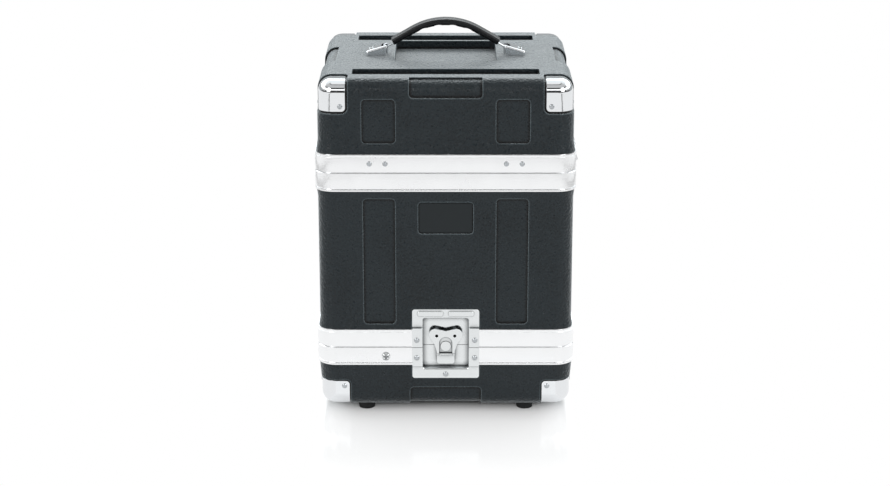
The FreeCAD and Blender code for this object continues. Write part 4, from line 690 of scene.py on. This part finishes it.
def white_acrylic(tree):
    """White gloss round the case, plain white further out. Bright metal also mirrors a dark line on each
    side of the floor, which gives the corners their dark streaks."""
    place = add(tree, "ShaderNodeSeparateXYZ", {
        "Vector": add(tree, "ShaderNodeTexCoord").outputs["Object"],
    })
    sideways = add(tree, "ShaderNodeMath", {0: place.outputs["X"]}, operation="ABSOLUTE")
    beside = add(tree, "ShaderNodeMapRange", {
        "Value": sideways.outputs[0], "From Min": reflection_side, "From Max": reflection_end,
        "To Min": 0.0, "To Max": 1.0,
    }, interpolation_type="SMOOTHSTEP")
    forward = add(tree, "ShaderNodeMapRange", {
        "Value": place.outputs["Y"], "From Min": front_start, "From Max": front_end,
        "To Min": 0.0, "To Max": 1.0,
    })
    before = add(tree, "ShaderNodeValToRGB", {"Fac": forward.outputs[0]}, stops=greys(
        (0.06, 0.0), (0.12, 0.17), (0.18, 0.38), (0.25, 0.43), (0.31, 0.51), (0.5, 0.56), (0.7, 0.62),
        (0.98, 1.0),
    ))
    behind = add(tree, "ShaderNodeMapRange", {
        "Value": place.outputs["Y"], "From Min": back_start, "From Max": back_end,
        "To Min": 0.0, "To Max": 1.0,
    })
    lengthways = add(tree, "ShaderNodeMath", {
        0: before.outputs[0], 1: behind.outputs[0],
    }, operation="MAXIMUM")
    away = add(tree, "ShaderNodeMath", {
        0: beside.outputs[0], 1: lengthways.outputs[0],
    }, operation="MAXIMUM")
    path = add(tree, "ShaderNodeLightPath")
    mirrored = add(tree, "ShaderNodeMath", {
        0: path.outputs["Is Glossy Ray"], 1: path.outputs["Is Transmission Ray"],
    }, operation="MAXIMUM")
    seen = add(tree, "ShaderNodeMath", {
        0: path.outputs["Is Camera Ray"], 1: mirrored.outputs[0],
    }, operation="MAXIMUM")
    plain = add(tree, "ShaderNodeMath", {0: away.outputs[0], 1: seen.outputs[0]}, operation="MULTIPLY")
    acrylic = add(tree, "ShaderNodeBsdfPrincipled", {
        "Base Color": linear("f6f6f6"), "Roughness": 0.12, "IOR": 1.49, "Specular IOR Level": 0.5,
    })
    line = add(tree, "ShaderNodeMath", {
        0: sideways.outputs[0], 1: dark_line_place, 2: dark_line_half_width,
    }, operation="COMPARE")
    dark = add(tree, "ShaderNodeMath", {
        0: line.outputs[0], 1: path.outputs["Is Glossy Ray"],
    }, operation="MULTIPLY")
    shine = add(tree, "ShaderNodeMath", {
        0: dark.outputs[0], 1: dark_line_level - 1.0, 2: 1.0,
    }, operation="MULTIPLY_ADD")
    white = add(tree, "ShaderNodeEmission", {"Color": (1, 1, 1, 1), "Strength": shine.outputs[0]})
    return add(tree, "ShaderNodeMixShader", {
        0: plain.outputs[0], 1: acrylic.outputs[0], 2: white.outputs[0],
    })


floor_mesh.materials.append(finished("acrylic_white_gloss", white_acrylic))

# Room of the studio
# A bright panel behind the case, a soft light low on each side of the camera, a strip light above it and
# a grey wall and ceiling over them, with dark gaps between. Heights are sines of the angle above the floor.

side_light_strength, strip_light_strength, rear_light_strength = 3.1, 2.2, 3.8
skirting_bottom, skirting_top, wall_bottom = 0.05, 0.2, 0.63
rear_start, rear_full = -0.1, 0.25

world = bpy.data.worlds.new("studio_room")
bpy.context.scene.world = world
world.use_nodes = True
room = world.node_tree
room.nodes.clear()
direction = add(room, "ShaderNodeSeparateXYZ", {
    "Vector": add(room, "ShaderNodeTexCoord").outputs["Generated"],
})
height = direction.outputs["Z"]
breadth = add(room, "ShaderNodeMath", {0: direction.outputs["X"]}, operation="ABSOLUTE")
height_squared = add(room, "ShaderNodeMath", {0: height, 1: height}, operation="MULTIPLY")
level_squared = add(room, "ShaderNodeMath", {0: 1.0, 1: height_squared.outputs[0]}, operation="SUBTRACT")
level_length = add(room, "ShaderNodeMath", {0: level_squared.outputs[0], 1: 0.5}, operation="POWER")
sideways = add(room, "ShaderNodeMath", {
    0: breadth.outputs[0], 1: level_length.outputs[0],
}, operation="DIVIDE")
side_lights = add(room, "ShaderNodeValToRGB", {"Fac": sideways.outputs[0]}, stops=greys(
    (0.32, 0.03), (0.44, 1.0), (0.72, 1.0), (0.79, 0.03), (0.84, 0.03), (0.9, 0.22),
))
skirting = add(room, "ShaderNodeMapRange", {
    "Value": height, "From Min": skirting_bottom, "From Max": skirting_top,
    "To Min": 0.0, "To Max": side_light_strength,
})
side_level = add(room, "ShaderNodeMath", {
    0: side_lights.outputs[0], 1: skirting.outputs[0],
}, operation="MULTIPLY")
strip_light = add(room, "ShaderNodeValToRGB", {"Fac": height}, stops=greys(
    (0.31, 0.0), (0.36, 1.0), (0.44, 1.0), (0.49, 0.0),
))
low_level = add(room, "ShaderNodeMath", {
    0: strip_light.outputs[0], 1: strip_light_strength, 2: side_level.outputs[0],
}, operation="MULTIPLY_ADD")
high_wall = add(room, "ShaderNodeValToRGB", {"Fac": height}, stops=greys(
    (0.63, 0.05), (0.66, 0.05), (0.68, 0.62), (0.935, 0.62), (0.945, 0.06), (0.962, 0.06), (0.972, 1.0),
))
above = add(room, "ShaderNodeMath", {0: height, 1: wall_bottom}, operation="GREATER_THAN")
front_level = add(room, "ShaderNodeMix", {
    "Factor": above.outputs[0], "A": low_level.outputs[0], "B": high_wall.outputs[0],
}, data_type="FLOAT")
rear_light = add(room, "ShaderNodeValToRGB", {"Fac": height}, stops=greys(
    (0.26, 0.12), (0.38, 1.0), (0.66, 1.0), (0.76, 0.3),
))
rear_level = add(room, "ShaderNodeMath", {
    0: rear_light.outputs[0], 1: rear_light_strength,
}, operation="MULTIPLY")
to_rear = add(room, "ShaderNodeMapRange", {
    "Value": direction.outputs["Y"], "From Min": rear_start, "From Max": rear_full,
    "To Min": 0.0, "To Max": 1.0,
})
strength = add(room, "ShaderNodeMix", {
    "Factor": to_rear.outputs[0], "A": front_level.outputs[0], "B": rear_level.outputs[0],
}, data_type="FLOAT")
tint = add(room, "ShaderNodeMix", {
    0: to_rear.outputs[0], 6: (1, 1, 1, 1), 7: (0.94, 0.985, 1.0, 1),
}, data_type="RGBA")
light = add(room, "ShaderNodeBackground", {"Color": tint.outputs[2], "Strength": strength.outputs[0]})
add(room, "ShaderNodeOutputWorld", {"Surface": light.outputs[0]})

# Camera
# Straight in front of the case and a little above it. A long lens from about three metres keeps the
# upright edges nearly parallel.

camera_place, camera_dip = (0, -3.279, 1.220), 16.9
camera_data = bpy.data.cameras.new("camera")
camera_data.lens = 84.94
camera_data.sensor_width = 36.0
camera_data.shift_x = -0.0008
camera = bpy.data.objects.new("camera", camera_data)
camera.location = camera_place
camera.rotation_euler = (math.radians(90 - camera_dip), 0, 0)
bpy.context.collection.objects.link(camera)
bpy.context.scene.camera = camera
bpy.context.scene.view_settings.view_transform = "Standard"
